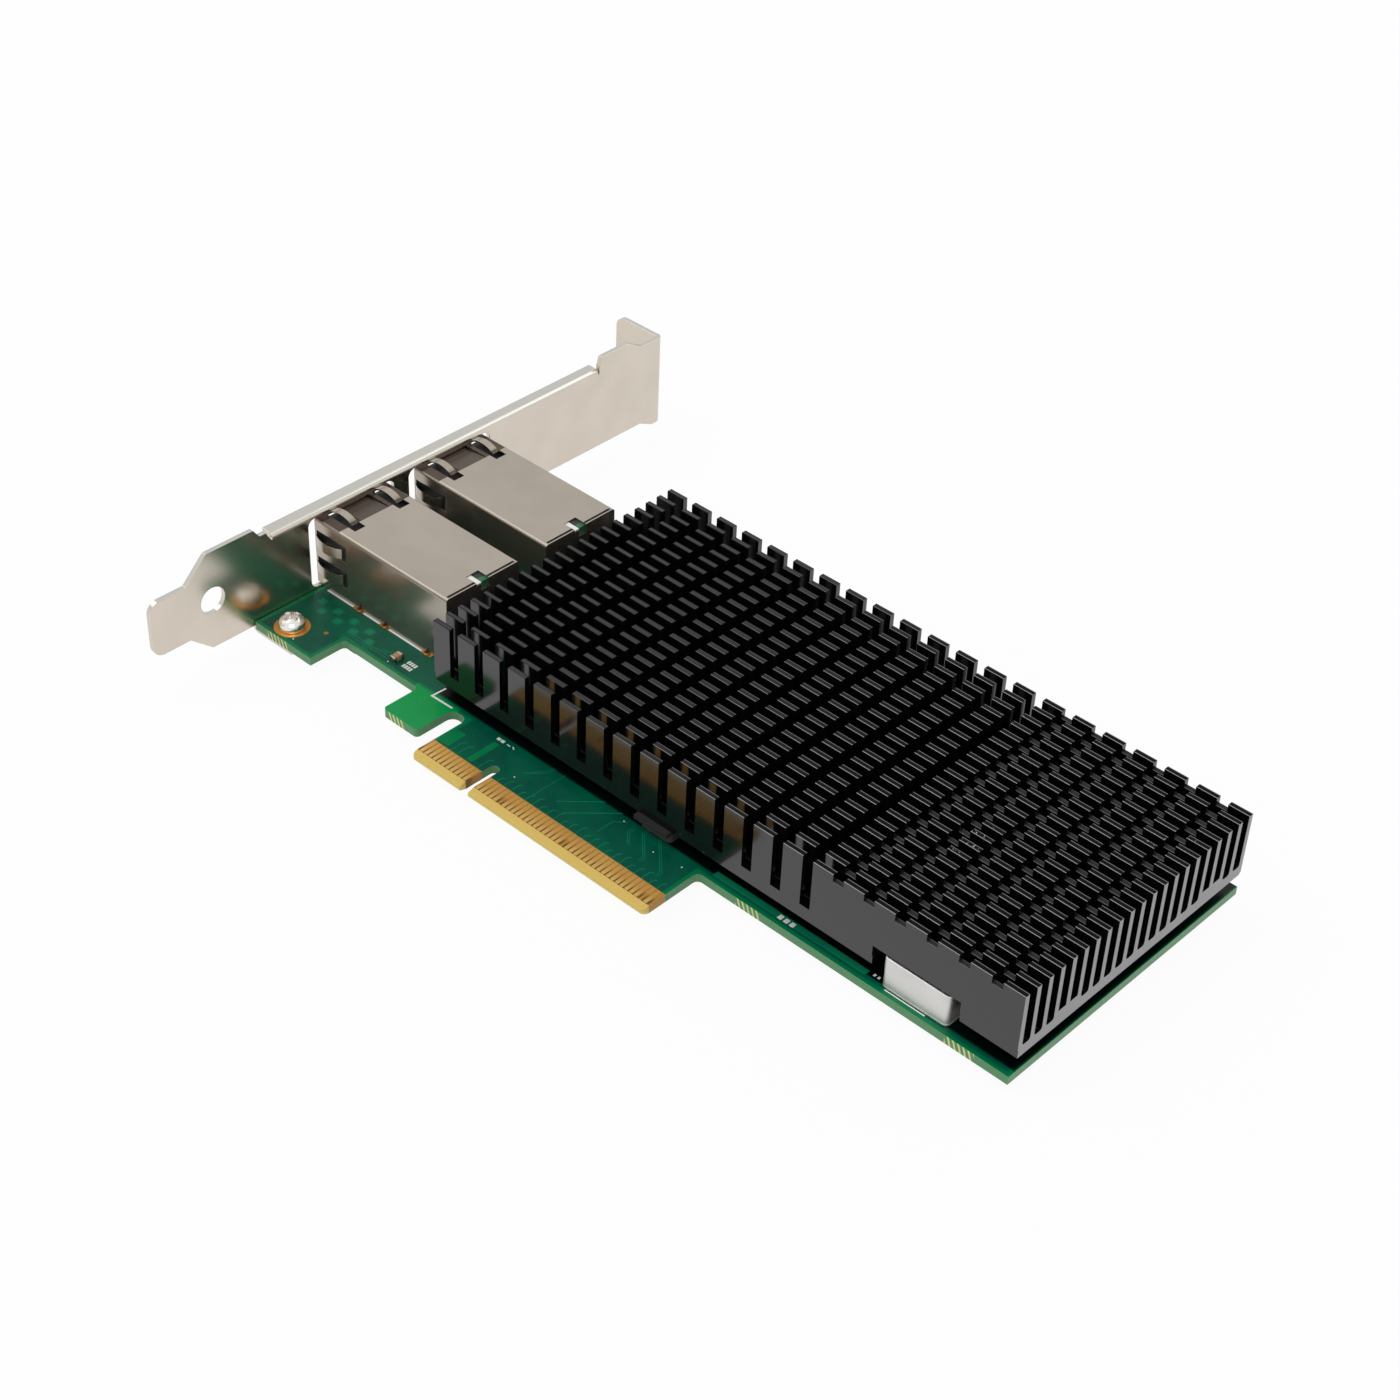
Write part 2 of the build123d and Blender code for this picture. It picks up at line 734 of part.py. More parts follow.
# Heatsink
sink_points = [
    (sink_near + base_step, sink_lift),
    (sink_near + base_step, sink_lift + base_step_height),
    (sink_near, sink_lift + base_step_height),
    (sink_near, sink_top),
]
for gap in range(fin_count - 1):
    floor = boss_floor if gap in boss_fins or gap + 1 in boss_fins else gap_floor
    gap_start = fin_start(gap) + fin_thickness
    gap_end = fin_start(gap + 1)
    sink_points += [(gap_start, sink_top), (gap_start, floor), (gap_end, floor), (gap_end, sink_top)]
sink_points += [
    (board_height, sink_top),
    (board_height, sink_lift + base_chamfer),
    (board_height - base_chamfer, sink_lift),
]
with BuildPart() as heatsink:
    with BuildSketch(Plane.YZ.offset(sink_start)) as sink_profile:
        with BuildLine():
            Polyline(*sink_points, close=True)
        make_face()
        floor_corners = sink_profile.vertices().filter_by_position(Axis.Y, gap_floor - 0.01, gap_floor + 0.01)
        fillet(floor_corners, gap_corner_radius)
    extrude(amount=sink_length)
    cut_starts = [sink_start + (cut + 1) * cut_pitch - cut_width for cut in range(cut_count)]
    with Locations(*[(x, sink_near - 1, sink_lift + deep_cut_floor) for x in cut_starts[:deep_cuts]]):
        Box(cut_width, sink_width + 2, sink_height, align=CORNER, mode=Mode.SUBTRACT)
    with Locations(*[(x, sink_near - 1, sink_top - shallow_cut_depth) for x in cut_starts[deep_cuts:]]):
        Box(cut_width, sink_width + 2, sink_height, align=CORNER, mode=Mode.SUBTRACT)
    # Room for the crystal
    box(
        notch_start,
        sink_near - 1,
        sink_lift - 1,
        notch_end - notch_start,
        notch_far - sink_near + 1,
        notch_top - sink_lift + 1,
        Mode.SUBTRACT,
    )
    with Locations(*[(x, y, sink_lift) for x, y in sink_screw_places]):
        Cylinder(
            sink_screw_diameter / 2 + thread_clearance, sink_thread_depth, align=UPWARD, mode=Mode.SUBTRACT
        )
heatsink.part.label = "heatsink"
export_step(heatsink.part, "parts/heatsink.step")

# Heatsink spacers
with BuildPart() as heatsink_spacers:
    with BuildSketch(Plane.XY):
        with Locations(*sink_screw_places):
            Circle(spacer_diameter / 2)
            Circle(sink_hole_diameter / 2, mode=Mode.SUBTRACT)
    extrude(amount=sink_lift)
heatsink_spacers.part.label = "heatsink_spacers"
export_step(heatsink_spacers.part, "parts/heatsink_spacers.step")

# Heatsink washers
with BuildPart() as heatsink_washers:
    with BuildSketch(Plane.XY.offset(board_back)):
        with Locations(*sink_screw_places):
            Circle(washer_diameter / 2)
            Circle(sink_hole_diameter / 2, mode=Mode.SUBTRACT)
    extrude(amount=-washer_thickness)
heatsink_washers.part.label = "heatsink_washers"
export_step(heatsink_washers.part, "parts/heatsink_washers.step")

# Heatsink screws
with BuildPart() as heatsink_screws:
    head_seat = board_back - washer_thickness
    head_end = head_seat - sink_head_height
    with Locations(*[(x, y, head_seat) for x, y in sink_screw_places]):
        Cylinder(sink_head_diameter / 2, sink_head_height, align=DOWNWARD)
        Cylinder(sink_screw_diameter / 2, sink_lift + sink_screw_engagement - head_seat, align=UPWARD)
    sink_recess_length = sink_head_diameter * 0.6
    with Locations(*[(x, y, head_end) for x, y in sink_screw_places]):
        Box(sink_recess_length, recess_width, 2 * recess_depth, mode=Mode.SUBTRACT)
        Box(recess_width, sink_recess_length, 2 * recess_depth, mode=Mode.SUBTRACT)
heatsink_screws.part.label = "heatsink_screws"
export_step(heatsink_screws.part, "parts/heatsink_screws.step")

# Crystal on its base
with BuildPart() as crystal_base:
    base_length = crystal_length + 2 * crystal_base_margin
    base_depth = crystal_depth + 2 * crystal_base_margin
    crystal_y = crystal_near + crystal_depth / 2
    with Locations((crystal_centre, crystal_y, 0)):
        Box(base_length, base_depth, crystal_base_thickness, align=UPWARD)
crystal_base.part.label = "crystal_base"
export_step(crystal_base.part, "parts/crystal_base.step")

with BuildPart() as crystal_can:
    with BuildSketch(Plane.XY.offset(crystal_base_thickness)):
        with Locations((crystal_centre, crystal_y)):
            RectangleRounded(crystal_length, crystal_depth, crystal_corner_radius)
    extrude(amount=crystal_height)
    fillet(crystal_can.edges().group_by(Axis.Z)[-1], crystal_edge_radius)
crystal_can.part.label = "crystal_can"
export_step(crystal_can.part, "parts/crystal_can.step")

# Controller package and its pad
with BuildPart() as controller_substrate:
    with Locations((controller_x, controller_y, 0)):
        Box(substrate_size, substrate_size, substrate_thickness, align=UPWARD)
controller_substrate.part.label = "controller_substrate"
export_step(controller_substrate.part, "parts/controller_substrate.step")

with BuildPart() as controller_lid:
    with Locations((controller_x, controller_y, substrate_thickness)):
        Box(lid_size, lid_size, lid_thickness, align=UPWARD)
controller_lid.part.label = "controller_lid"
export_step(controller_lid.part, "parts/controller_lid.step")

with BuildPart() as controller_thermal_pad:
    lid_top = substrate_thickness + lid_thickness
    with Locations((controller_x, controller_y, lid_top)):
        Box(lid_size, lid_size, sink_lift - lid_top, align=UPWARD)
controller_thermal_pad.part.label = "controller_thermal_pad"
export_step(controller_thermal_pad.part, "parts/controller_thermal_pad.step")

# Power parts
with BuildPart() as power_inductors:
    with BuildSketch(Plane.XY):
        with Locations(*inductor_places):
            RectangleRounded(inductor_size, inductor_size, inductor_radius)
    extrude(amount=inductor_height)
power_inductors.part.label = "power_inductors"
export_step(power_inductors.part, "parts/power_inductors.step")

with BuildPart() as power_thermal_pad:
    x = inductor_places[0][0] - power_pad_length / 2
    box(x, power_pad_near, inductor_height, power_pad_length, power_pad_depth, sink_lift - inductor_height)
power_thermal_pad.part.label = "power_thermal_pad"
export_step(power_thermal_pad.part, "parts/power_thermal_pad.step")

with BuildPart() as regulator_chips:
    with Locations(*[(x, y, 0) for x, y in regulator_places]):
        Box(regulator_size, regulator_size, regulator_height, align=UPWARD)
regulator_chips.part.label = "regulator_chips"
export_step(regulator_chips.part, "parts/regulator_chips.step")

# Flash memory with its leads
with BuildPart() as flash_memory:
    flash_x, flash_y = flash_place
    with Locations((flash_x, flash_y, flash_stand)):
        Box(flash_length, flash_width, flash_height, align=UPWARD)
    for column in range(4):
        lead_x = flash_x + (column - 1.5) * 1.27 - flash_lead_width / 2
        lead_y = flash_y - flash_width / 2 - flash_lead_reach
        box(lead_x, lead_y, 0, flash_lead_width, flash_width + 2 * flash_lead_reach, flash_lead_thickness)
flash_memory.part.label = "flash_memory"
export_step(flash_memory.part, "parts/flash_memory.step")

# Chip capacitors: a ring round the controller and one in the open
ring_reach = substrate_size / 2 + capacitor_ring_gap
ring_steps = [(step - (capacitors_per_side - 1) / 2) * capacitor_pitch for step in range(capacitors_per_side)]
with BuildPart() as ceramic_capacitors:
    for step in ring_steps:
        for side in (-1, 1):
            with Locations((controller_x + step, controller_y + side * ring_reach, 0)):
                Box(capacitor_width, capacitor_length, capacitor_height, align=UPWARD)
            with Locations((controller_x + side * ring_reach, controller_y + step, 0)):
                Box(capacitor_length, capacitor_width, capacitor_height, align=UPWARD)
    with Locations((*open_capacitor, 0)):
        Box(capacitor_width, capacitor_length, capacitor_height, align=UPWARD)
ceramic_capacitors.part.label = "ceramic_capacitors"
export_step(ceramic_capacitors.part, "parts/ceramic_capacitors.step")

# Chip resistors either side of the flash memory
with BuildPart() as chip_resistors:
    with Locations(*[(x, y, 0) for x in resistor_columns for y in resistor_rows]):
        Box(resistor_length, resistor_width, resistor_height, align=UPWARD)
chip_resistors.part.label = "chip_resistors"
export_step(chip_resistors.part, "parts/chip_resistors.step")

# Chip capacitors on the solder side, behind the controller
with BuildPart() as solder_side_capacitors:
    with Locations((controller_x, controller_y, board_back)):
        with GridLocations(
            back_capacitor_pitch, back_capacitor_pitch, back_capacitor_rows, back_capacitor_rows
        ):
            Box(resistor_length, resistor_width, resistor_width, align=DOWNWARD)
solder_side_capacitors.part.label = "solder_side_capacitors"
export_step(solder_side_capacitors.part, "parts/solder_side_capacitors.step")
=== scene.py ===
"""Looks of the dual port network card.

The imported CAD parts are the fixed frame. This script dresses every one of them, adds the small
surfaces that only show up close, and sets the camera, the lamps and the floor. Sizes are written in
millimetres and turned into metres where a mesh is made. Colours are written as they look, 0 to 255.
"""

import logging
import math
from dataclasses import dataclass, field
from enum import Enum
from typing import Any, Sequence

import bpy
import numpy as np
from mathutils import Matrix, Vector


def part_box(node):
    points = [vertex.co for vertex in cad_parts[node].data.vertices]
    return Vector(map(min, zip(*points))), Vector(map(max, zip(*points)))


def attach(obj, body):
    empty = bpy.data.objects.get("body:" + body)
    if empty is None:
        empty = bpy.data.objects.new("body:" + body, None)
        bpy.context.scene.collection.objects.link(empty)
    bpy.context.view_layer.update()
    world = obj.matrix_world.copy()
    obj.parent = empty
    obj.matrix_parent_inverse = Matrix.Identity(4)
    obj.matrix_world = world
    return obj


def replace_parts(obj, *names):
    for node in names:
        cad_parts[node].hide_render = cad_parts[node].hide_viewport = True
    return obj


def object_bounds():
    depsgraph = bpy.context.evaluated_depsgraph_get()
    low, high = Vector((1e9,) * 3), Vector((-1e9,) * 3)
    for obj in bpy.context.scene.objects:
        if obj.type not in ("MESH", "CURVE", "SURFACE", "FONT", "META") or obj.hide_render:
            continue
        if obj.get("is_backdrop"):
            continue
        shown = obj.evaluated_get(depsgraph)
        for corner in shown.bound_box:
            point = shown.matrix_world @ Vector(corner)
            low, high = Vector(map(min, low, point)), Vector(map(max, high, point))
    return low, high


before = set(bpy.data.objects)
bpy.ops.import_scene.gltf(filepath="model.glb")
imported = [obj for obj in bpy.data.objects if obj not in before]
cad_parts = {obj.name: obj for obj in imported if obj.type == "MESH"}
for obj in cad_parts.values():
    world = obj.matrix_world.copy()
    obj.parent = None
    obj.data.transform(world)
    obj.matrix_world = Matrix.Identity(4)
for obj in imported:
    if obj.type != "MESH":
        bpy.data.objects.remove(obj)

MM = 0.001
ROOT = "root"
JACK_WIDTH = 16.45
SHIELD_TOP = 13.55
CLOUD_WAVES = 0.12
BEVEL_SAMPLES = 6
WHITE = (1.0, 1.0, 1.0, 1.0)
LOG = logging.getLogger("network_card")

Colour = tuple[float, float, float, float]
Box = tuple[float, float, float, float]
Triple = tuple[float, float, float]
Place = tuple[float, float]
Number = Any


def span(node: str) -> tuple[np.ndarray, np.ndarray]:
    """The lowest and the highest corner of a CAD node's box, in millimetres."""
    low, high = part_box(node)
    return np.array(low) / MM, np.array(high) / MM


def solder_face() -> float:
    """Height of the board's solder side, in millimetres."""
    return float(span("circuit_board")[0][2])


def places(node: str, inset: float, rows: int = 2) -> list[Place]:
    """Places along two sides of a node's box, as many in a row as asked for.

    Args:
        node: Name of the CAD node.
        inset: How far in from the box's sides the outer places lie.
        rows: How many places there are from the low to the high y.

    Returns:
        Each place once.
    """
    low, high = span(node)
    xs = {round(float(x), 3) for x in (low[0] + inset, high[0] - inset)}
    ys = np.linspace(low[1] + inset, high[1] - inset, rows)
    return [(x, float(y)) for x in sorted(xs) for y in ys]


def paint(red: int, green: int, blue: int) -> Colour:
    """A colour as it looks on a screen, turned into light.

    Args:
        red: Red, 0 to 255.
        green: Green, 0 to 255.
        blue: Blue, 0 to 255.

    Returns:
        The colour in linear light, with an alpha of 1.
    """
    seen = np.array([red, green, blue]) / 255
    light = np.where(seen <= 0.04045, seen / 12.92, ((seen + 0.055) / 1.055) ** 2.4)
    return (float(light[0]), float(light[1]), float(light[2]), 1.0)


class Side(Enum):
    """Which face of the board a piece lies on."""

    COMPONENT = "component"
    SOLDER = "solder"


class Lie(Enum):
    """Which way a chip part lies."""

    ALONG = "x"
    ACROSS = "y"


class Value:
    """A socket of a shader graph, on which Python's operators add Math nodes."""

    def __init__(self, graph: "Graph", socket: bpy.types.NodeSocket) -> None:
        """Keeps the graph and the socket.

        Args:
            graph: The graph that holds the socket's node.
            socket: An output socket.
        """
        self.graph = graph
        self.socket = socket

    def out(self, name: str) -> "Value":
        """Another output of the same node."""
        return Value(self.graph, self.socket.node.outputs[name])

    def _with(self, operation: str, first: Number, second: Number = None) -> "Value":
        """One Math node of these one or two numbers."""
        inputs = {0: first} if second is None else {0: first, 1: second}
        return self.graph.node("ShaderNodeMath", {"operation": operation}, inputs)

    def __add__(self, other: Number) -> "Value":
        """self + other."""
        return self._with("ADD", self, other)

    def __radd__(self, other: Number) -> "Value":
        """other + self."""
        return self._with("ADD", other, self)

    def __sub__(self, other: Number) -> "Value":
        """self - other."""
        return self._with("SUBTRACT", self, other)

    def __rsub__(self, other: Number) -> "Value":
        """other - self."""
        return self._with("SUBTRACT", other, self)

    def __mul__(self, other: Number) -> "Value":
        """self * other."""
        return self._with("MULTIPLY", self, other)

    def __rmul__(self, other: Number) -> "Value":
        """other * self."""
        return self._with("MULTIPLY", other, self)

    def __abs__(self) -> "Value":
        """The size of self without its sign."""
        return self._with("ABSOLUTE", self)

    def most(self, other: Number) -> "Value":
        """The larger of the two."""
        return self._with("MAXIMUM", self, other)

    def least(self, other: Number) -> "Value":
        """The smaller of the two."""
        return self._with("MINIMUM", self, other)

    def wave(self) -> "Value":
        """The sine of self."""
        return self._with("SINE", self)

    def within(self, length: float) -> "Value":
        """What is left of self after whole lengths are taken away."""
        return self._with("MODULO", self, length)

    def ease(self, start: float, end: float) -> "Value":
        """A smooth step.

        Args:
            start: Where the step is 0.
            end: Where it is 1.

        Returns:
            A value that goes smoothly from 0 at start to 1 at end.
        """
        return self.graph.node(
            "ShaderNodeMapRange",
            {"interpolation_type": "SMOOTHSTEP"},
            {"Value": self, "From Min": start, "From Max": end, "To Min": 0.0, "To Max": 1.0},
        )

    def between(self, low: float, high: float, soft: float) -> "Value":
        """1 from low to high and 0 outside, with soft edges of that width."""
        return self.ease(low - soft, low + soft) * (1 - self.ease(high - soft, high + soft))


class Graph:
    """The shader graph of one material, or of the surroundings."""

    def __init__(self, owner: bpy.types.Material | bpy.types.World) -> None:
        """Starts an empty graph.

        Args:
            owner: The new material or world that the graph belongs to.
        """
        owner.use_nodes = True
        self.owner = owner
        self.tree = owner.node_tree
        self.tree.nodes.clear()

    def node(
        self,
        kind: str,
        settings: dict[str, Any] | None = None,
        inputs: dict[Any, Any] | None = None,
        output: int | str = 0,
    ) -> Value:
        """Adds a node.

        Args:
            kind: The node's type.
            settings: Its own settings, set first. "stops" gives a ramp's stops.
            inputs: Its sockets by name or index, each a number, a colour or a linked value.
            output: The output that is handed back.

        Returns:
            That output.
        """
        node = self.tree.nodes.new(kind)
        for name, setting in (settings or {}).items():
            if name == "stops":
                ramp = node.color_ramp
                for position, _ in setting[len(ramp.elements):]:
                    ramp.elements.new(position)
                for element, (position, colour) in zip(ramp.elements, setting):
                    element.position = position
                    element.color = colour
            else:
                setattr(node, name, setting)
        for name, value in (inputs or {}).items():
            if isinstance(value, Value):
                self.tree.links.new(value.socket, node.inputs[name])
            else:
                node.inputs[name].default_value = value
        return Value(self, node.outputs[output]) if node.outputs else None

    def mix(self, share: Number, first: Any, second: Any) -> Value:
        """A colour between two, first where share is 0 and second where it is 1."""
        settings = {"data_type": "RGBA", "clamp_factor": True}
        return self.node("ShaderNodeMix", settings, {0: share, 6: first, 7: second}, 2)

    def place(self) -> Value:
        """Where a point is on the card, in millimetres."""
        point = self.node("ShaderNodeTexCoord", output="Object")
        return self.stretch(point, (1 / MM, 1 / MM, 1 / MM))

    def stretch(self, vector: Value, by: Sequence[float]) -> Value:
        """A vector times these three numbers."""
        inputs = {0: vector, 1: tuple(by)}
        return self.node("ShaderNodeVectorMath", {"operation": "MULTIPLY"}, inputs)

    def parts(self, vector: Value) -> tuple[Value, Value, Value]:
        """The three numbers of a vector."""
        first = self.node("ShaderNodeSeparateXYZ", inputs={0: vector}, output="X")
        return first, first.out("Y"), first.out("Z")

    def noise(self, vector: Value, scale: float, detail: float = 3.0, rough: float = 0.5) -> Value:
        """Cloudy noise, 0 to 1, with that many waves a millimetre."""
        inputs = {"Vector": vector, "Scale": scale, "Detail": detail, "Roughness": rough}
        return self.node("ShaderNodeTexNoise", inputs=inputs)

    def facing(self) -> tuple[Value, Value, Value]:
        """The three numbers of the face's own direction."""
        return self.parts(self.node("ShaderNodeNewGeometry", output="Normal"))

    def rounded(self, radius: float) -> Value:
        """The surface's direction, turned over its edges as if they were rounded to that radius."""
        return self.node("ShaderNodeBevel", {"samples": BEVEL_SAMPLES}, {"Radius": radius * MM})

    def edges(self, rounded: Value) -> Value:
        """1 near an edge of the shape and 0 away from it.

        Args:
            rounded: The direction that rounded() gives.

        Returns:
            How far that direction has turned from the face's own one.
        """
        own = self.node("ShaderNodeNewGeometry", output="Normal")
        inputs = {0: rounded, 1: own}
        turned = self.node("ShaderNodeVectorMath", {"operation": "DOT_PRODUCT"}, inputs, "Value")
        return (1 - turned).ease(0.01, 0.2)

    def relief(self, height: Value, depth: float, normal: Value | None = None) -> Value:
        """A bumpy surface.

        Args:
            height: Height over the surface, 0 to 1.
            depth: Depth of the relief in millimetres.
            normal: The direction it starts from, or none for the shape's own.

        Returns:
            The direction of the bumpy surface.
        """
        inputs: dict[Any, Any] = {"Strength": 1.0, "Distance": depth * MM, "Height": height}
        if normal is not None:
            inputs["Normal"] = normal
        return self.node("ShaderNodeBump", inputs=inputs)

    def shader(self, inputs: dict[str, Any]) -> Value:
        """A principled surface with these sockets."""
        return self.node("ShaderNodeBsdfPrincipled", inputs=inputs)

    def layered(self, share: Number, first: Value, second: Value) -> Value:
        """A surface between two, first where share is 0 and second where it is 1."""
        return self.node("ShaderNodeMixShader", inputs={0: share, 1: first, 2: second})

    def finish(self, surface: Value) -> bpy.types.Material:
        """Ends the graph in this surface."""
        self.node("ShaderNodeOutputMaterial", inputs={"Surface": surface})
        return self.owner


@dataclass(frozen=True)
class Finish:
    """A plain finish: two tones in a cloudy mix, a grain in the gloss and in the relief, and where
    asked a painted highlight along the rounded edges.

    Attributes:
        name: The material's name.
        light: The lighter tone.
        dark: The darker tone.
        metal: 1 for a metal and 0 for anything else.
        gloss: Lowest and highest roughness.
        waves: Waves of the grain a millimetre, along each axis.
        depth: Depth of the relief in millimetres.
        edge: Radius of the edges in millimetres, or 0 to leave them sharp.
        edge_highlight: Tone of the painted highlight along the edges.
        edge_highlight_share: How much of that painted highlight the edges take.
        extra: More sockets of the surface, such as its coat.
    """

    name: str
    light: Colour
    dark: Colour
    metal: float = 0.0
    gloss: tuple[float, float] = (0.4, 0.5)
    waves: tuple[float, float, float] = (1.0, 1.0, 1.0)
    depth: float = 0.004
    edge: float = 0.0
    edge_highlight: Colour = (0.8, 0.8, 0.8, 1.0)
    edge_highlight_share: float = 0.5
    extra: tuple[tuple[str, Any], ...] = ()

    def colour(self, graph: Graph, place: Value, cloud: Value) -> Value:
        """The colour over the surface, here the two tones mixed by a cloud."""
        return graph.mix(cloud.ease(0.3, 0.7), self.dark, self.light)

    def surface(self, graph: Graph, place: Value, inputs: dict[str, Any]) -> Value:
        """The surface that takes these sockets, here a single one."""
        return graph.shader(inputs)

    def make(self) -> bpy.types.Material:
        """Builds the material.

        Returns:
            The material, named after the finish.
        """
        graph = Graph(bpy.data.materials.new(self.name))
        place = graph.place()
        cloud = graph.noise(place, CLOUD_WAVES, 2.0)
        grain = graph.noise(graph.stretch(place, self.waves), 1.0, 3.0, 0.6)
        colour = self.colour(graph, place, cloud)
        low, high = self.gloss
        rough = low + (high - low) * (grain * 0.6 + cloud * 0.4)
        rounded = graph.rounded(self.edge) if self.edge else None
        # Painted highlight: the edges are mixed towards a pale tone by the bevel's edge mask.
        if rounded is not None and self.edge_highlight_share:
            colour = graph.mix(graph.edges(rounded) * self.edge_highlight_share, colour, self.edge_highlight)
        inputs: dict[str, Any] = {
            "Base Color": colour,
            "Metallic": self.metal,
            "Roughness": rough,
            "Normal": graph.relief(grain, self.depth, rounded),
        }
        inputs.update(dict(self.extra))
        return graph.finish(self.surface(graph, place, inputs))


@dataclass(frozen=True)
class AnodisedFinish(Finish):
    """Glossy black anodised extrusion with a pale sawn tail end, partly a painted reflection, painted
    highlight rims on the fins' tops and a painted glint on the near stubs in the deep cuts.

    Attributes:
        sawn_from: X from which an end face counts as sawn.
        sawn: Tone of the sawn end, partly bare cut metal and partly a painted reflection.
        stub_rise: Lowest and highest level of the stubs' tops.
        stub_glint: Tone of the painted glint on the stubs' tops.
        nicks: Middle and reach of each spot where the fins' tops are nicked.
        nick: Tone of a nick.
        stub_row: Lowest and highest y of the stubs that take the painted glint.
        dull: Share of the dull surface on the tops, at the jacks' end and at the tail.
        dull_over: X range over which the shares change from the jacks' end to the tail.
        dull_shine: Specular level of the dull surface.
        fins: Y of the first fin's near face, pitch of the fins and half their thickness.
        stripe: Half the width of the polished stripe along the fins' tops.
        rim: Tone of the painted highlight rims along the fins' tops.
        rim_width: How far in from the fin's faces the rims reach.
        rim_highlight_share: Share of that painted highlight at the jacks' end and at the tail.
        floor_rise: Lowest and highest level of the shallow cuts' floors.
        floor: Tone of those floors.
    """

    sawn_from: float = 99.4
    sawn: Colour = paint(138, 138, 141)
    stub_rise: tuple[float, float] = (5.2, 5.4)
    stub_glint: Colour = paint(190, 190, 188)
    nicks: tuple[Triple, ...] = ((74.0, 34.0, 5.5), (95.0, 54.0, 5.0), (60.0, 61.0, 2.5))
    nick: Colour = paint(225, 225, 225)
    stub_row: tuple[float, float] = (14.35, 17.1)
    dull: tuple[float, float] = (0.3, 1.0)
    dull_over: tuple[float, float] = (-15.0, 60.0)
    dull_shine: float = 0.05
    fins: tuple[float, float, float] = (13.3, 2.7325, 0.475)
    stripe: float = 0.3
    rim: Colour = paint(178, 178, 181)
    rim_width: float = 0.12
    rim_highlight_share: tuple[float, float] = (0.0, 0.95)
    floor_rise: tuple[float, float] = (13.2, 13.5)
    floor: Colour = paint(62, 62, 63)

    def aside(self, across: Value) -> Value:
        """How far a point lies from the middle of the fin it is on."""
        start, pitch, half = self.fins
        return (across - (start - pitch)).within(pitch) - half

    def tailward(self, along: Value, ends: tuple[float, float]) -> Value:
        """A share that goes from the first of these at the jacks' end to the second at the tail."""
        return ends[0] + (ends[1] - ends[0]) * along.ease(*self.dull_over)

    def colour(self, graph: Graph, place: Value, cloud: Value) -> Value:
        """Black with faint lines along the extrusion, nicks, painted highlight rims on the fins' tops,
        a painted glint on the stubs and the pale sawn end, partly a painted reflection.

        Args:
            graph: The material's graph.
            place: Where a point is, in millimetres.
            cloud: Cloudy noise, 0 to 1.

        Returns:
            The colour over the surface.
        """
        along, across, up = graph.parts(place)
        lines = graph.noise(graph.stretch(place, (0.02, 2.4, 2.4)), 1.0, 4.0, 0.7)
        tone = graph.mix(lines.ease(0.3, 0.75) * 0.6 + cloud * 0.4, self.dark, self.light)
        end, _, top = graph.facing()
        above = top.ease(0.7, 0.9)
        specks = graph.noise(place, 2.6, 2.0).ease(0.64, 0.7) * above
        for middle_x, middle_y, reach in self.nicks:
            away_x, away_y = along - middle_x, across - middle_y
            near = 1 - (away_x * away_x + away_y * away_y).ease(0.2 * reach**2, reach**2)
            tone = graph.mix(specks * near * 0.7, tone, self.nick)
        floor = up.between(*self.floor_rise, 0.05) * above
        tone = graph.mix(floor * 0.7, tone, self.floor)
        half = self.fins[2]
        aside = self.aside(across)
        # Painted highlight lines along the fins' top rims, growing towards the tail.
        line = abs(aside).between(half - self.rim_width, half + 0.05, 0.03)
        line = line * (1 - aside.ease(-0.05, 0.05) * 0.5) * (1 - floor * 0.65) * up.ease(12.9, 13.1)
        tone = graph.mix(line * above * self.tailward(along, self.rim_highlight_share), tone, self.rim)
        # Painted glint on the tops of the near stubs.
        bare = up.between(*self.stub_rise, 0.02) * across.between(*self.stub_row, 0.02)
        tone = graph.mix(above * bare * 0.9, tone, self.stub_glint)
        scratches = graph.noise(graph.stretch(place, (1.0, 0.35, 5.0)), 1.0, 3.0, 0.7)
        # Pale sawn end: partly bare cut metal, partly a painted reflection.
        sawn = end.ease(0.7, 0.9) * along.ease(self.sawn_from - 0.1, self.sawn_from)
        return graph.mix(sawn * (0.7 + scratches * 0.35), tone, self.sawn)

    def surface(self, graph: Graph, place: Value, inputs: dict[str, Any]) -> Value:
        """The polished surface, with a duller one on the tops, most of all towards the tail.

        Args:
            graph: The material's graph.
            place: Where a point is, in millimetres.
            inputs: Sockets of the polished surface.

        Returns:
            The mixed surface.
        """
        along, across, _ = graph.parts(place)
        _, _, top = graph.facing()
        outside = abs(self.aside(across)).ease(self.stripe - 0.06, self.stripe + 0.06)
        share = top.ease(0.7, 0.9) * self.tailward(along, self.dull).most(outside)
        dull = dict(inputs)
        dull["Specular IOR Level"] = self.dull_shine
        return graph.layered(share, graph.shader(inputs), graph.shader(dull))


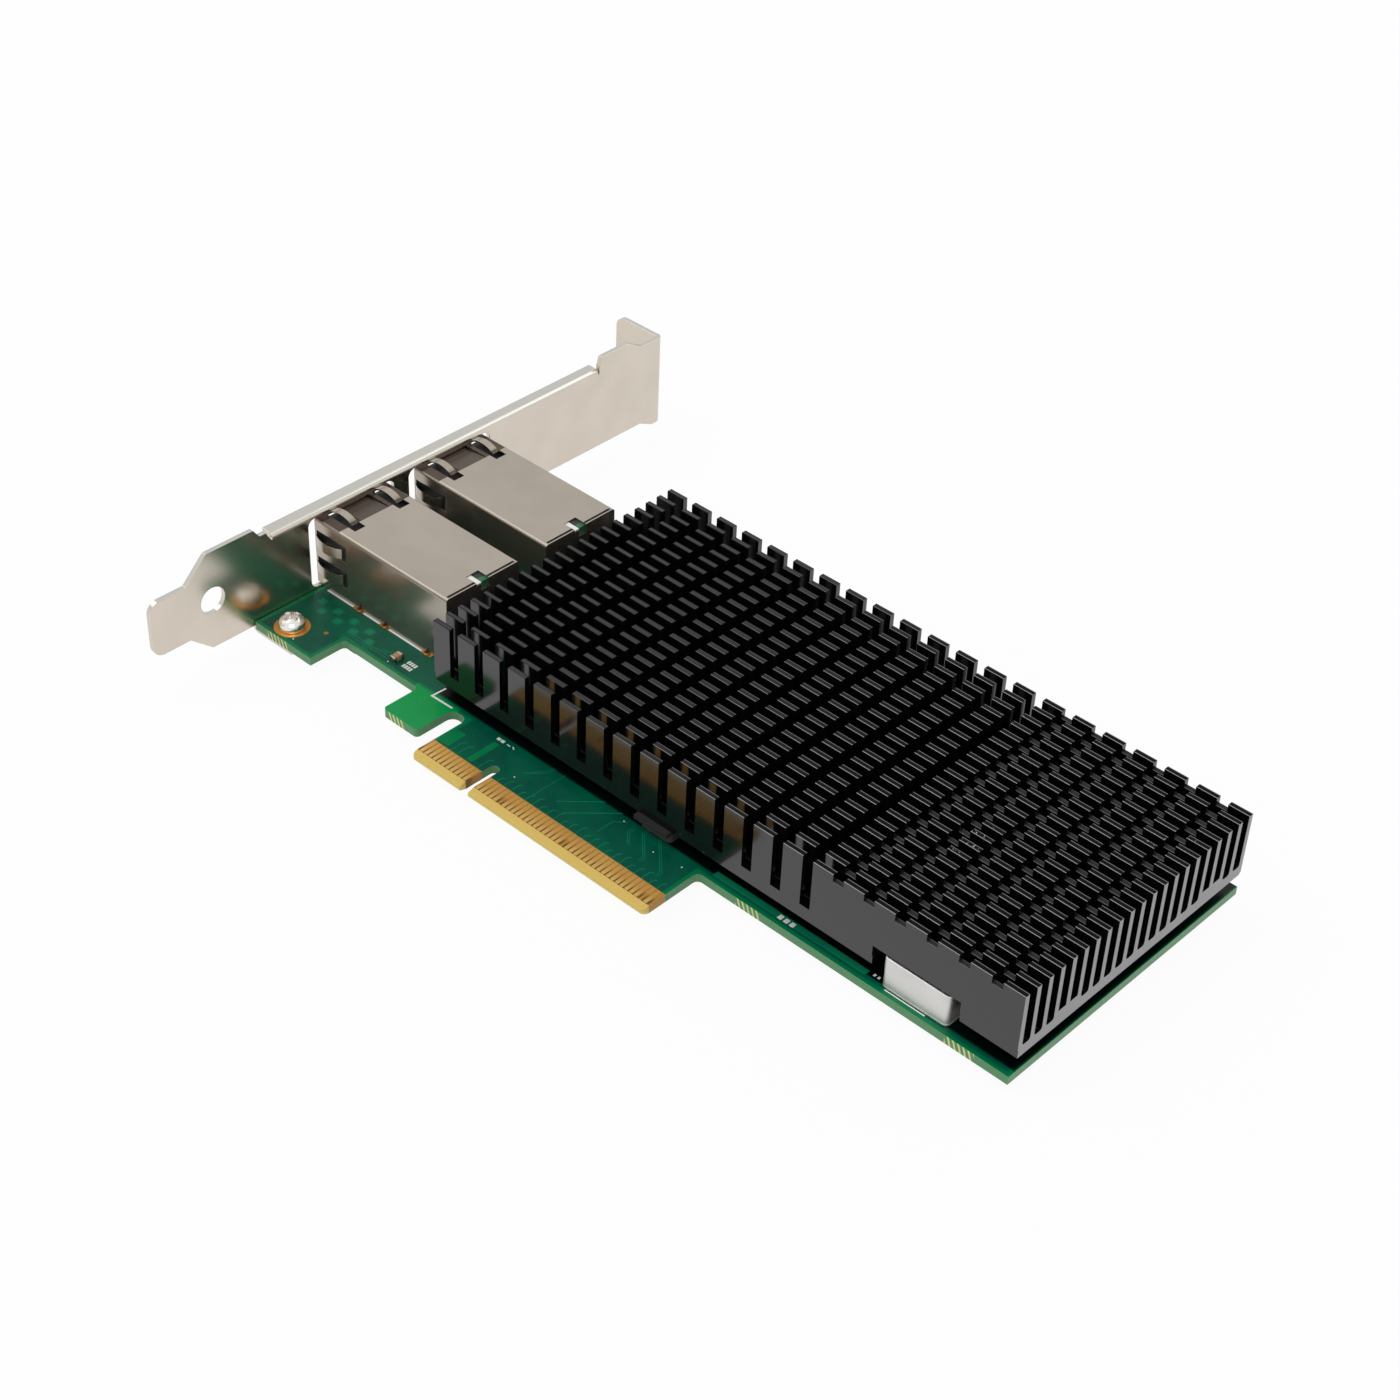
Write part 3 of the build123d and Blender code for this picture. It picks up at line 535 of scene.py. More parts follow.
@dataclass(frozen=True)
class GoldFinish(Finish):
    """Gold plating on the edge contacts, with the faint rub marks of a card that was plugged in.

    Attributes:
        rub_low: Y at which the rub marks start.
        rub_high: Y at which they end.
        rubbed: Tone of the rub marks.
    """

    rub_low: float = 0.5
    rub_high: float = 2.4
    rubbed: Colour = paint(238, 200, 116)

    def colour(self, graph: Graph, place: Value, cloud: Value) -> Value:
        """Gold that changes a little from pad to pad, lighter in the rub marks.

        Args:
            graph: The material's graph.
            place: Where a point is, in millimetres.
            cloud: Cloudy noise, 0 to 1.

        Returns:
            The colour over the surface.
        """
        _, across, _ = graph.parts(place)
        tone = graph.mix(cloud.ease(0.3, 0.7), self.dark, self.light)
        pad = graph.noise(graph.stretch(place, (0.8, 0.03, 0.1)), 1.0, 1.0)
        tone = graph.mix(pad.ease(0.35, 0.7) * 0.2, tone, self.dark)
        streak = graph.noise(graph.stretch(place, (7.0, 0.4, 1.0)), 1.0, 2.0)
        worn = across.between(self.rub_low, self.rub_high, 0.9)
        rub = worn * (0.6 + streak.ease(0.45, 0.7) * 0.4)
        return graph.mix(rub * 0.85, tone, self.rubbed)


@dataclass(frozen=True)
class NickelFinish(Finish):
    """Satin plated sheet with a painted cooler grey reflection on the faces that point up.

    Attributes:
        painted_top_reflection: Tone of the painted reflection on those faces.
    """

    painted_top_reflection: Colour = paint(190, 189, 182)

    def colour(self, graph: Graph, place: Value, cloud: Value) -> Value:
        """The warm sheet, with a painted cooler reflection where it lies level.

        Args:
            graph: The material's graph.
            place: Where a point is, in millimetres; not used.
            cloud: Cloudy noise, 0 to 1.

        Returns:
            The colour over the surface.
        """
        _, _, up = graph.facing()
        tone = graph.mix(cloud.ease(0.2, 0.8), self.dark, self.light)
        # Faces that point up take the painted reflection tone.
        return graph.mix(up.ease(0.3, 0.9), tone, self.painted_top_reflection)


@dataclass(frozen=True)
class ShieldFinish(Finish):
    """Plated shield with painted shade and dark reflection on the stretch of its top behind the
    bracket, painted shade on its bends and a dark rear seam.

    Attributes:
        shade: Tone of the painted shade and dark reflection on the stretch behind the bracket.
        reach: X where it starts and ends.
        top: Level above which the spring fingers rise out of it.
        bend: Tone of the painted shade on the bends along the top's edges.
        seam: Tone of the open seam along the top's rear edge.
        seam_reach: X where the seam starts and ends.
        seam_rows: Y range of the seam on each jack.
    """

    shade: Colour = paint(62, 49, 40)
    reach: tuple[float, float] = (-58.4, -51.95)
    top: float = 13.8
    bend: Colour = paint(132, 124, 114)
    seam: Colour = paint(18, 17, 16)
    seam_reach: tuple[float, float] = (-25.65, -25.15)
    seam_rows: tuple[tuple[float, float], ...] = ((20.1, 35.1), (42.8, 57.8))

    def colour(self, graph: Graph, place: Value, cloud: Value) -> Value:
        """The two tones, the painted shade on the bends and on the stretch behind the bracket, and the
        seam on the top.

        Args:
            graph: The material's graph.
            place: Where a point is, in millimetres.
            cloud: Cloudy noise, 0 to 1.

        Returns:
            The colour over the surface.
        """
        along, across, height = graph.parts(place)
        _, _, up = graph.facing()
        tone = graph.mix(cloud.ease(0.25, 0.75), self.dark, self.light)
        # Painted shade on the sloping faces of the bends.
        tone = graph.mix(up.between(0.25, 0.93, 0.04), tone, self.bend)
        level = up.ease(0.7, 0.9)
        low = 1 - height.ease(self.top, self.top + 0.1)
        # Painted shade and dark reflection on the level top behind the bracket.
        shade = along.between(*self.reach, 0.1) * level * low
        tone = graph.mix(shade * (0.8 + cloud * 0.2), tone, self.shade)
        rows = [across.between(*row, 0.03) for row in self.seam_rows]
        seam = rows[0].most(rows[1]) * along.between(*self.seam_reach, 0.04) * level
        return graph.mix(seam, tone, self.seam)


@dataclass(frozen=True)
class LaminateFinish(Finish):
    """Green solder mask on both faces with a painted shadow round and under the heatsink, pale glass
    laminate at the cut edges.

    Attributes:
        rim: Tone of the mask along the board's edges.
        rim_width: How far in from the edges that tone reaches.
        hook_tone: Tone of the mask on the hook.
        thin: Tone of the soft squares where the mask is thin over copper.
        thin_rows: Middle x of the first square and middle y of each row of squares.
        thin_count: How many squares a row has.
        thin_pitch: Distance from one square to the next.
        painted_sink_shadow: Tone of the painted shadow round and under the heatsink.
        painted_shadow_edge: Low x, low y and high x of that painted shadow.
        cut: Tone of the laminate's cut edge.
        layer: Tone of the copper layers in it.
        band: Tone of the bevelled contact edge.
        band_top: Y up to which the bare band reaches.
        gap: Tone of the bare laminate between the contacts.
        gap_dark: Its tone at the contacts' lower ends.
        gap_top: Y up to which the laminate is bare.
        areas: Low x, low y, high x and high y of the rectangles that make up the outline.
        ticks: X ranges at which copper shows in the cut edge.
        tick_pitch: Distance from one bar of that copper to the next.
        tick_tone: Tone of that copper.
    """

    rim: Colour = paint(0, 128, 78)
    rim_width: float = 0.75
    hook_tone: Colour = paint(0, 160, 80)
    thin: Colour = paint(10, 142, 104)
    thin_rows: tuple[Place, ...] = ((-53.5, 16.45), (-51.45, 14.5))
    thin_count: int = 4
    thin_pitch: float = 4.07
    painted_sink_shadow: Colour = paint(2, 14, 12)
    painted_shadow_edge: tuple[float, float, float] = (-21.3, 13.4, 99.5)
    cut: Colour = paint(112, 160, 118)
    layer: Colour = paint(74, 140, 90)
    band: Colour = paint(226, 186, 86)
    band_top: float = 1.3
    gap: Colour = paint(196, 146, 70)
    gap_dark: Colour = paint(122, 90, 40)
    gap_top: float = 4.85
    areas: tuple[Box, ...] = (
        (-56.9, 4.45, -42.6, 68.9),
        (-56.9, 12.0, 99.6, 68.9),
        (-24.1, 4.3, -15.9, 68.9),
        (-12.3, 0.0, 39.5, 68.9),
    )
    ticks: tuple[Place, ...] = ((-53.7, -48.6), (-22.9, -19.0), (47.3, 52.4), (88.0, 93.4))
    tick_pitch: float = 0.95
    tick_tone: Colour = paint(236, 238, 160)

    def inset(self, along: Value, across: Value) -> Value:
        """How far a point lies inside the outline: the most of its depths in the rectangles.

        Args:
            along: Its x.
            across: Its y.

        Returns:
            The depth, under 0 outside the outline.
        """
        depths = [
            (along - low_x).least(high_x - along).least(across - low_y).least(high_y - across)
            for low_x, low_y, high_x, high_y in self.areas
        ]
        deepest = depths[0]
        for depth in depths[1:]:
            deepest = deepest.most(depth)
        return deepest

    def mask(self, graph: Graph, place: Value, cloud: Value) -> Value:
        """Mask over the copper pours, brighter along the rim and on the hook, with a painted shadow
        round and under the heatsink.

        Args:
            graph: The material's graph.
            place: Where a point is, in millimetres.
            cloud: Cloudy noise, 0 to 1.

        Returns:
            The colour over the surface.
        """
        along, across, _ = graph.parts(place)
        pour = graph.noise(place, 0.07, 1.0).ease(0.46, 0.5)
        tone = graph.mix(cloud.ease(0.3, 0.7) * 0.6 + pour * 0.4, self.dark, self.light)
        rim = 1 - self.inset(along, across).ease(self.rim_width - 0.25, self.rim_width + 0.15)
        tone = graph.mix(rim * 0.9, tone, self.rim)
        for start, level in self.thin_rows:
            end = start + (self.thin_count - 1) * self.thin_pitch
            turn = (along - start) * (2 * math.pi / self.thin_pitch) + math.pi / 2
            square = turn.wave().ease(-0.2, 0.9) * across.between(level - 0.7, level + 0.7, 0.35)
            in_row = along.between(start - 1, end + 1, 0.1)
            tone = graph.mix(square * in_row * 0.75, tone, self.thin)
        # Painted shadow round and under the heatsink, placed by x and y only, so it lies on both faces.
        low_x, low_y, high_x = self.painted_shadow_edge
        painted_sink_shadow = (along - low_x).least(high_x - along).least(across - low_y)
        tone = graph.mix(painted_sink_shadow.ease(-0.25, 0.35), tone, self.painted_sink_shadow)
        hook = self.areas[2]
        on_hook = along.between(hook[0] - 1, hook[2] + 1, 0.2) * (1 - across.ease(12.2, 13.6))
        return graph.mix(on_hook, tone, self.hook_tone)

    def cut_edge(self, graph: Graph, place: Value, fibres: Value) -> Value:
        """Cut laminate with its copper layers, and bars of copper where the panel was parted.

        Args:
            graph: The material's graph.
            place: Where a point is, in millimetres.
            fibres: Noise drawn out along the glass fibres, 0 to 1.

        Returns:
            The colour of the cut edge.
        """
        along, _, up = graph.parts(place)
        layers = (up * 12.0).wave().ease(0.55, 0.95)
        tone = graph.mix(layers * 0.5, graph.mix(fibres * 0.5, self.cut, self.layer), self.layer)
        copper = along.between(*self.ticks[0], 0.05)
        for start, end in self.ticks[1:]:
            copper = copper.most(along.between(start, end, 0.05))
        bars = ((along + up * 0.35) * (2 * math.pi / self.tick_pitch)).wave().ease(0.1, 0.6)
        return graph.mix(copper * bars * 0.9, tone, self.tick_tone)

    def colour(self, graph: Graph, place: Value, cloud: Value) -> Value:
        """Mask on the faces, laminate in the cut edges and bare at the contacts.

        Args:
            graph: The material's graph.
            place: Where a point is, in millimetres.
            cloud: Cloudy noise, 0 to 1.

        Returns:
            The colour over the surface.
        """
        along, across, up = graph.parts(place)
        _, _, flat = graph.facing()
        fibres = graph.noise(graph.stretch(place, (1.4, 1.4, 9.0)), 1.0, 3.0)
        face = abs(flat).ease(0.8, 0.95)
        tone = graph.mix(face, self.cut_edge(graph, place, fibres), self.mask(graph, place, cloud))
        tongue = self.areas[3]
        narrow = (along * (2 * math.pi) + math.pi / 2).wave().ease(-0.6, 0.2)
        gap = graph.mix((1 - across.ease(1.9, 3.6)) * narrow, self.gap, self.gap_dark)
        band = graph.mix(fibres * 0.2 + 0.45 * (1 - up.ease(-1.3, -0.2)), self.band, self.tick_tone)
        bare = graph.mix(across.ease(self.band_top - 0.06, self.band_top + 0.06), band, gap)
        on_tongue = along.between(tongue[0] - 0.1, tongue[2] + 0.1, 0.02)
        share = (1 - across.ease(self.gap_top - 0.05, self.gap_top + 0.05)) * on_tongue
        return graph.mix(share, tone, bare)


@dataclass(frozen=True)
class ClearFinish(Finish):
    """Milky clear plastic of the indicator light pipes."""

    def colour(self, graph: Graph, place: Value, cloud: Value) -> Value:
        """A pale tone with a faint cloud in it."""
        return graph.mix(cloud, self.dark, self.light)


# The bracket's edges take a painted highlight tone.
BRACKET_NICKEL = NickelFinish(
    "bracket_nickel", paint(212, 202, 190), paint(205, 195, 183),
    metal=1.0, gloss=(0.2, 0.24), waves=(0.5, 0.5, 0.5), depth=0.0004, edge=0.12,
    edge_highlight=paint(240, 238, 232), edge_highlight_share=0.35,
)
SHIELD_TIN = ShieldFinish(
    "shield_tin", paint(172, 163, 152), paint(165, 156, 145),
    metal=0.9, gloss=(0.2, 0.26), waves=(0.6, 1.2, 0.6), depth=0.0005, edge=0.04, edge_highlight_share=0.0,
)
BLACK_ANODISE = AnodisedFinish(
    "black_anodise", paint(15, 15, 16), paint(8, 8, 9),
    gloss=(0.1, 0.16), waves=(0.05, 3.5, 3.5), depth=0.0006, extra=(("Specular IOR Level", 0.68),),
)
EDGE_GOLD = GoldFinish(
    "edge_gold", paint(228, 178, 92), paint(214, 160, 76),
    metal=0.35, gloss=(0.26, 0.38), waves=(8.0, 0.8, 1.0), depth=0.001,
)
PAD_GOLD = Finish(
    "pad_gold", paint(222, 164, 84), paint(190, 132, 60),
    metal=1.0, gloss=(0.24, 0.4), waves=(5.0, 5.0, 1.0), depth=0.002,
)
GREEN_LAMINATE = LaminateFinish(
    "green_laminate", paint(0, 98, 72), paint(0, 82, 64),
    gloss=(0.24, 0.32), waves=(1.6, 1.6, 1.6), depth=0.002, extra=(("Specular IOR Level", 0.16),),
)
MASK_OVER_COPPER = Finish(
    "mask_over_copper", paint(14, 128, 92), paint(8, 116, 84),
    gloss=(0.22, 0.3), waves=(3.0, 3.0, 1.0), depth=0.001, extra=(("Specular IOR Level", 0.16),),
)
BRIGHT_MASK = Finish(
    "bright_mask", paint(0, 132, 78), paint(0, 118, 70),
    gloss=(0.22, 0.3), waves=(3.0, 3.0, 1.0), depth=0.001, extra=(("Specular IOR Level", 0.16),),
)
JOINT_GOLD = Finish(
    "joint_gold", paint(176, 124, 60), paint(122, 82, 40),
    metal=1.0, gloss=(0.22, 0.38), waves=(2.4, 2.4, 2.4), depth=0.004,
)
LEG_PEG = Finish(
    "leg_peg", paint(156, 136, 106), paint(104, 86, 60),
    metal=1.0, gloss=(0.3, 0.45), waves=(3.0, 3.0, 6.0), depth=0.006,
)
MARKING_WHITE = Finish(
    "marking_white", paint(250, 251, 248), paint(232, 235, 229),
    gloss=(0.55, 0.7), waves=(6.0, 6.0, 1.0), depth=0.004,
)
SCREW_CHROME = Finish(
    "screw_chrome", paint(238, 236, 232), paint(212, 209, 204),
    metal=1.0, gloss=(0.14, 0.26), waves=(3.0, 3.0, 6.0), depth=0.002,
)
# Near-white, barely metallic tab: its brightness is a painted highlight.
TAB_PAINTED_HIGHLIGHT = Finish(
    "tab_painted_highlight", paint(246, 246, 242), paint(222, 221, 216),
    metal=0.3, gloss=(0.25, 0.35), waves=(3.0, 3.0, 3.0), depth=0.003,
)
# Dark brown tone of the lip under the shields' front rim: painted shade and reflection.
LIP_PAINTED_SHADE = Finish(
    "lip_painted_shade", paint(96, 80, 68), paint(78, 64, 54),
    metal=0.9, gloss=(0.3, 0.4), waves=(2.0, 1.0, 2.0), depth=0.002,
)
SOLDER = Finish(
    "solder", paint(206, 200, 190), paint(150, 140, 126),
    metal=1.0, gloss=(0.2, 0.38), waves=(2.4, 2.4, 2.4), depth=0.02,
)
CRYSTAL_STEEL = Finish(
    "crystal_steel", paint(214, 212, 210), paint(200, 198, 196),
    metal=1.0, gloss=(0.42, 0.52), waves=(0.6, 2.0, 2.0), depth=0.001,
)
BLACK_PLASTIC = Finish(
    "black_plastic", paint(34, 34, 36), paint(24, 24, 26),
    gloss=(0.4, 0.55), waves=(7.0, 7.0, 7.0), depth=0.008, edge=0.08, edge_highlight_share=0.0,
)
CHIP_MOULD = Finish(
    "chip_mould", paint(46, 46, 48), paint(32, 32, 34),
    gloss=(0.5, 0.65), waves=(9.0, 9.0, 9.0), depth=0.01, edge=0.05, edge_highlight_share=0.0,
)
CAPACITOR_CERAMIC = Finish(
    "capacitor_ceramic", paint(196, 164, 126), paint(168, 134, 98),
    gloss=(0.45, 0.6), waves=(6.0, 6.0, 6.0), depth=0.006,
)
RESISTOR_BODY = Finish(
    "resistor_body", paint(40, 42, 48), paint(28, 29, 33),
    gloss=(0.4, 0.5), waves=(6.0, 6.0, 6.0), depth=0.005, edge=0.05, edge_highlight_share=0.0,
)
FERRITE = Finish(
    "ferrite", paint(78, 76, 74), paint(56, 55, 54),
    gloss=(0.55, 0.7), waves=(5.0, 5.0, 5.0), depth=0.015, edge=0.1, edge_highlight_share=0.0,
)
PACKAGE_LAMINATE = Finish(
    "package_laminate", paint(38, 104, 66), paint(26, 84, 54),
    gloss=(0.3, 0.42), waves=(4.0, 4.0, 4.0), depth=0.004,
)
LID_NICKEL = Finish(
    "lid_nickel", paint(190, 186, 180), paint(168, 164, 158),
    metal=1.0, gloss=(0.3, 0.42), waves=(5.0, 0.6, 1.0), depth=0.003,
)
GAP_PAD = Finish(
    "gap_pad", paint(26, 29, 29), paint(20, 23, 23),
    gloss=(0.7, 0.85), waves=(5.0, 5.0, 5.0), depth=0.02,
)
INSULATOR = Finish(
    "insulator", paint(66, 64, 62), paint(50, 48, 47),
    gloss=(0.5, 0.6), waves=(6.0, 6.0, 6.0), depth=0.006,
)
WASHER_FIBRE = Finish(
    "washer_fibre", paint(150, 96, 66), paint(124, 76, 52),
    gloss=(0.65, 0.8), waves=(2.0, 9.0, 2.0), depth=0.02,
)
SPACER_METAL = Finish(
    "spacer_metal", paint(190, 188, 184), paint(164, 162, 158),
    metal=1.0, gloss=(0.28, 0.4), waves=(0.8, 0.8, 12.0), depth=0.004,
)
LIGHT_PIPE = ClearFinish(
    "light_pipe_plastic", paint(226, 228, 222), paint(206, 210, 202),
    gloss=(0.12, 0.22), waves=(2.0, 2.0, 2.0), depth=0.004,
    extra=(("Transmission Weight", 0.35), ("IOR", 1.49)),
)


@dataclass
class Surface:
    """Points in millimetres with their faces.

    Attributes:
        points: One row for each point.
        quads: Faces of four points, one row each.
        fans: Faces of three points that close the ends.
    """

    points: np.ndarray
    quads: np.ndarray
    fans: np.ndarray

    def moved(self, x: float, y: float, z: float) -> "Surface":
        """The same shape, shifted."""
        return Surface(self.points + np.array([x, y, z]), self.quads, self.fans)

    def leaning(self, fall: float) -> "Surface":
        """The shape sheared so that it falls by this much for each millimetre along x."""
        lean = np.array([[1, 0, -fall], [0, 1, 0], [0, 0, 1]])
        return Surface(self.points @ lean, self.quads, self.fans)

    def flipped(self, level: float) -> "Surface":
        """The shape mirrored in a level plane, with its faces turned so that they still point out.

        Args:
            level: Height of a point that stays where it is, halved between the two shapes.

        Returns:
            The mirrored shape, in which a height z becomes level minus z.
        """
        points = self.points * np.array([1, 1, -1]) + np.array([0, 0, level])
        return Surface(points, self.quads[:, ::-1], self.fans[:, ::-1])

    def piece(
        self, name: str, finish: Finish, slot: str | None = None, crease: float = 38
    ) -> bpy.types.Object:
        """Makes the object that shows this surface and rides on the card.

        Args:
            name: Name of the piece.
            finish: Its finish.
            slot: Name of a material slot for its finish, if there is one; not used.
            crease: Angle in degrees over which an edge stays sharp.

        Returns:
            The object.
        """
        mesh = bpy.data.meshes.new(name)
        corners = np.concatenate([self.quads.ravel(), self.fans.ravel()]).astype(np.int32)
        sizes = np.repeat([4, 3], [len(self.quads), len(self.fans)]).astype(np.int32)
        starts = np.concatenate([[0], np.cumsum(sizes)[:-1]]).astype(np.int32)
        mesh.vertices.add(len(self.points))
        mesh.vertices.foreach_set("co", (self.points * MM).astype(np.float32).ravel())
        mesh.loops.add(len(corners))
        mesh.loops.foreach_set("vertex_index", corners)
        mesh.polygons.add(len(sizes))
        mesh.polygons.foreach_set("loop_start", starts)
        mesh.polygons.foreach_set("loop_total", sizes)
        mesh.polygons.foreach_set("use_smooth", np.ones(len(sizes), bool))
        mesh.update(calc_edges=True)
        mesh.validate()
        mesh.set_sharp_from_angle(angle=math.radians(crease))
        mesh.materials.append(Wardrobe.material(finish))
        piece = bpy.data.objects.new(name, mesh)
        bpy.context.scene.collection.objects.link(piece)
        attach(piece, ROOT)
        LOG.info("piece %s: %d faces", name, len(sizes))
        return piece


class Wardrobe:
    """Keeps one material for each finish and puts finishes on CAD nodes.

    Attributes:
        made: The materials made so far, by their names.
    """

    made: dict[str, bpy.types.Material] = {}

    @classmethod
    def material(cls, finish: Finish) -> bpy.types.Material:
        """The finish's material, made at its first use.

        Args:
            finish: The finish.

        Returns:
            Its material.
        """
        if finish.name not in cls.made:
            cls.made[finish.name] = finish.make()
        return cls.made[finish.name]

    @classmethod
    def dress(cls, finish: Finish, *nodes: str) -> None:
        """Puts a finish on these CAD nodes.

        Args:
            finish: The finish.
            nodes: Names of the nodes.
        """
        for node in nodes:
            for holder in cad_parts[node].material_slots:
                holder.material = cls.material(finish)
            LOG.info("node %s: %s", node, finish.name)


def joined(shapes: Sequence[Surface]) -> Surface:
    """Several shapes as one, with the numbers of each one's points moved behind the last one's.

    Args:
        shapes: The shapes.

    Returns:
        The one shape.
    """
    offsets = np.cumsum([0] + [len(s.points) for s in shapes[:-1]])
    return Surface(
        np.concatenate([s.points for s in shapes]),
        np.concatenate([s.quads + o for s, o in zip(shapes, offsets)]),
        np.concatenate([s.fans + o for s, o in zip(shapes, offsets)]),
    )


def skin(rings: np.ndarray, loop: bool = False) -> Surface:
    """A skin over rings of points.

    Point j of ring i is joined to point j + 1 of the same ring and to point j of the next ring. Each
    ring closes on itself. The first and last rings are closed by fans about their middles, or are
    joined to each other.

    Args:
        rings: Points by ring, point in the ring and axis. They run anticlockwise seen from the end.
        loop: Whether the last ring is joined to the first one instead of both being closed.

    Returns:
        The closed surface.
    """
    count, size = rings.shape[:2]
    points = rings.reshape(-1, 3)
    numbers = np.arange(count * size).reshape(count, size)
    after = np.roll(numbers, -1, axis=1)
    if loop:
        ahead, ahead_after = np.roll(numbers, -1, axis=0), np.roll(after, -1, axis=0)
        quads = np.stack([numbers, after, ahead_after, ahead], axis=-1)
        return Surface(points, quads.reshape(-1, 4), np.zeros((0, 3), int))
    quads = np.stack([numbers[:-1], after[:-1], after[1:], numbers[1:]], axis=-1)
    middles = np.stack([rings[0].mean(axis=0), rings[-1].mean(axis=0)])
    first, last = np.full(size, len(points)), np.full(size, len(points) + 1)
    fans = np.concatenate(
        [np.stack([first, after[0], numbers[0]], -1), np.stack([last, numbers[-1], after[-1]], -1)]
    )
    return Surface(np.concatenate([points, middles]), quads.reshape(-1, 4), fans)


def ribbon(
    path: Sequence[Place], width: float, low: float, high: float, slope: float = 0.02
) -> Surface:
    """A flat strip along a line on the board.

    The section is a trapezium. At each point of the line it stands across the middle of the two
    runs that meet there, widened by one over the cosine of half their angle, so the strip keeps its
    width round a corner.

    Args:
        path: Points of the line.
        width: Width of the strip.
        low: Height of its underside.
        high: Height of its top.
        slope: How far each side leans in.

    Returns:
        The strip.
    """
    line = np.array(path, float)
    runs = np.diff(line, axis=0)
    runs /= np.linalg.norm(runs, axis=1)[:, None]
    before, behind = np.vstack([runs[:1], runs]), np.vstack([runs, runs[-1:]])
    middle = before + behind
    middle /= np.linalg.norm(middle, axis=1)[:, None]
    across = np.stack([-middle[:, 1], middle[:, 0]], axis=1)
    wider = 1 / np.clip((middle * before).sum(axis=1), 0.5, 1)
    across *= wider[:, None]
    half = width / 2
    section = np.array([[-half, low], [half, low], [half - slope, high], [slope - half, high]])
    flat = line[:, None, :] + across[:, None, :] * section[None, :, :1]
    heights = np.broadcast_to(section[:, 1], flat.shape[:2])
    return skin(np.concatenate([flat, heights[..., None]], axis=-1))


def hoop(inner: float, outer: float, height: float, count: int = 14) -> Surface:
    """A flat ring on the level 0: a rectangular section carried once round a circle.

    Args:
        inner: Inner radius.
        outer: Outer radius.
        height: Its height.
        count: Points along it.

    Returns:
        The ring.
    """
    turn = np.arange(count) * 2 * math.pi / count
    radii = np.array([inner, outer, outer, inner])
    heights = np.array([0.0, 0.0, height, height])
    flat = np.stack([np.cos(turn), np.sin(turn)], axis=1)[:, None, :] * radii[None, :, None]
    rings = np.concatenate([flat, np.broadcast_to(heights[None, :, None], (count, 4, 1))], axis=-1)
    return skin(rings[::-1], loop=True)


def lathe(
    radii: Sequence[float], heights: Sequence[float], count: int, stretch: Place = (1, 1)
) -> Surface:
    """A profile of radii and heights turned about the upright axis, from its lowest ring up.

    Args:
        radii: Radius of each ring.
        heights: Height of each ring.
        count: Points in a ring.
        stretch: How much the rings are stretched along x and y.

    Returns:
        The turned shape, stretched.
    """
    turn = np.arange(count) * 2 * math.pi / count
    reach, rise = np.array(radii)[:, None], np.array(heights)[:, None]
    x = reach * np.cos(turn) * stretch[0]
    y = reach * np.sin(turn) * stretch[1]
    return skin(np.stack([x, y, np.broadcast_to(rise, x.shape)], axis=-1))


def corners(steps: int) -> tuple[np.ndarray, np.ndarray, np.ndarray]:
    """What the points once round a rounded rectangle have, a quarter turn at each corner.

    Args:
        steps: Points at each corner.

    Returns:
        Each point's turn, and the side of its corner along x and along y, 1 or -1.
    """
    quarter = np.linspace(0, math.pi / 2, steps)
    turn = (quarter[None, :] + np.arange(4)[:, None] * math.pi / 2).ravel()
    corner = np.repeat(np.arange(4), steps)
    return turn, np.where((corner == 0) | (corner == 3), 1, -1), np.where(corner < 2, 1, -1)


def rounded_block(length: float, depth: float, height: float, radius: float, steps: int = 3) -> Surface:
    """A block with rounded edges, standing on the level 0 about the upright axis.

    Its surface is a small ball's, cut in eight: each eighth is moved out to its own corner, so the
    doubled rows of points between two eighths span the flat faces.

    Args:
        length: Size along x.
        depth: Size along y.
        height: Size along z.
        radius: Radius of the edges.
        steps: Rows of points in each eighth.

    Returns:
        The block.
    """
    turn, side_x, side_y = corners(steps)
    quarter = np.linspace(0, math.pi / 2, steps)
    rise = np.concatenate([quarter - math.pi / 2, quarter])
    push_x = side_x * (length / 2 - radius)
    push_y = side_y * (depth / 2 - radius)
    push_z = np.repeat([radius, height - radius], steps)
    x = radius * np.cos(rise)[:, None] * np.cos(turn) + push_x
    y = radius * np.cos(rise)[:, None] * np.sin(turn) + push_y
    z = np.broadcast_to((radius * np.sin(rise) + push_z)[:, None], x.shape)
    return skin(np.stack([x, y, z], axis=-1))


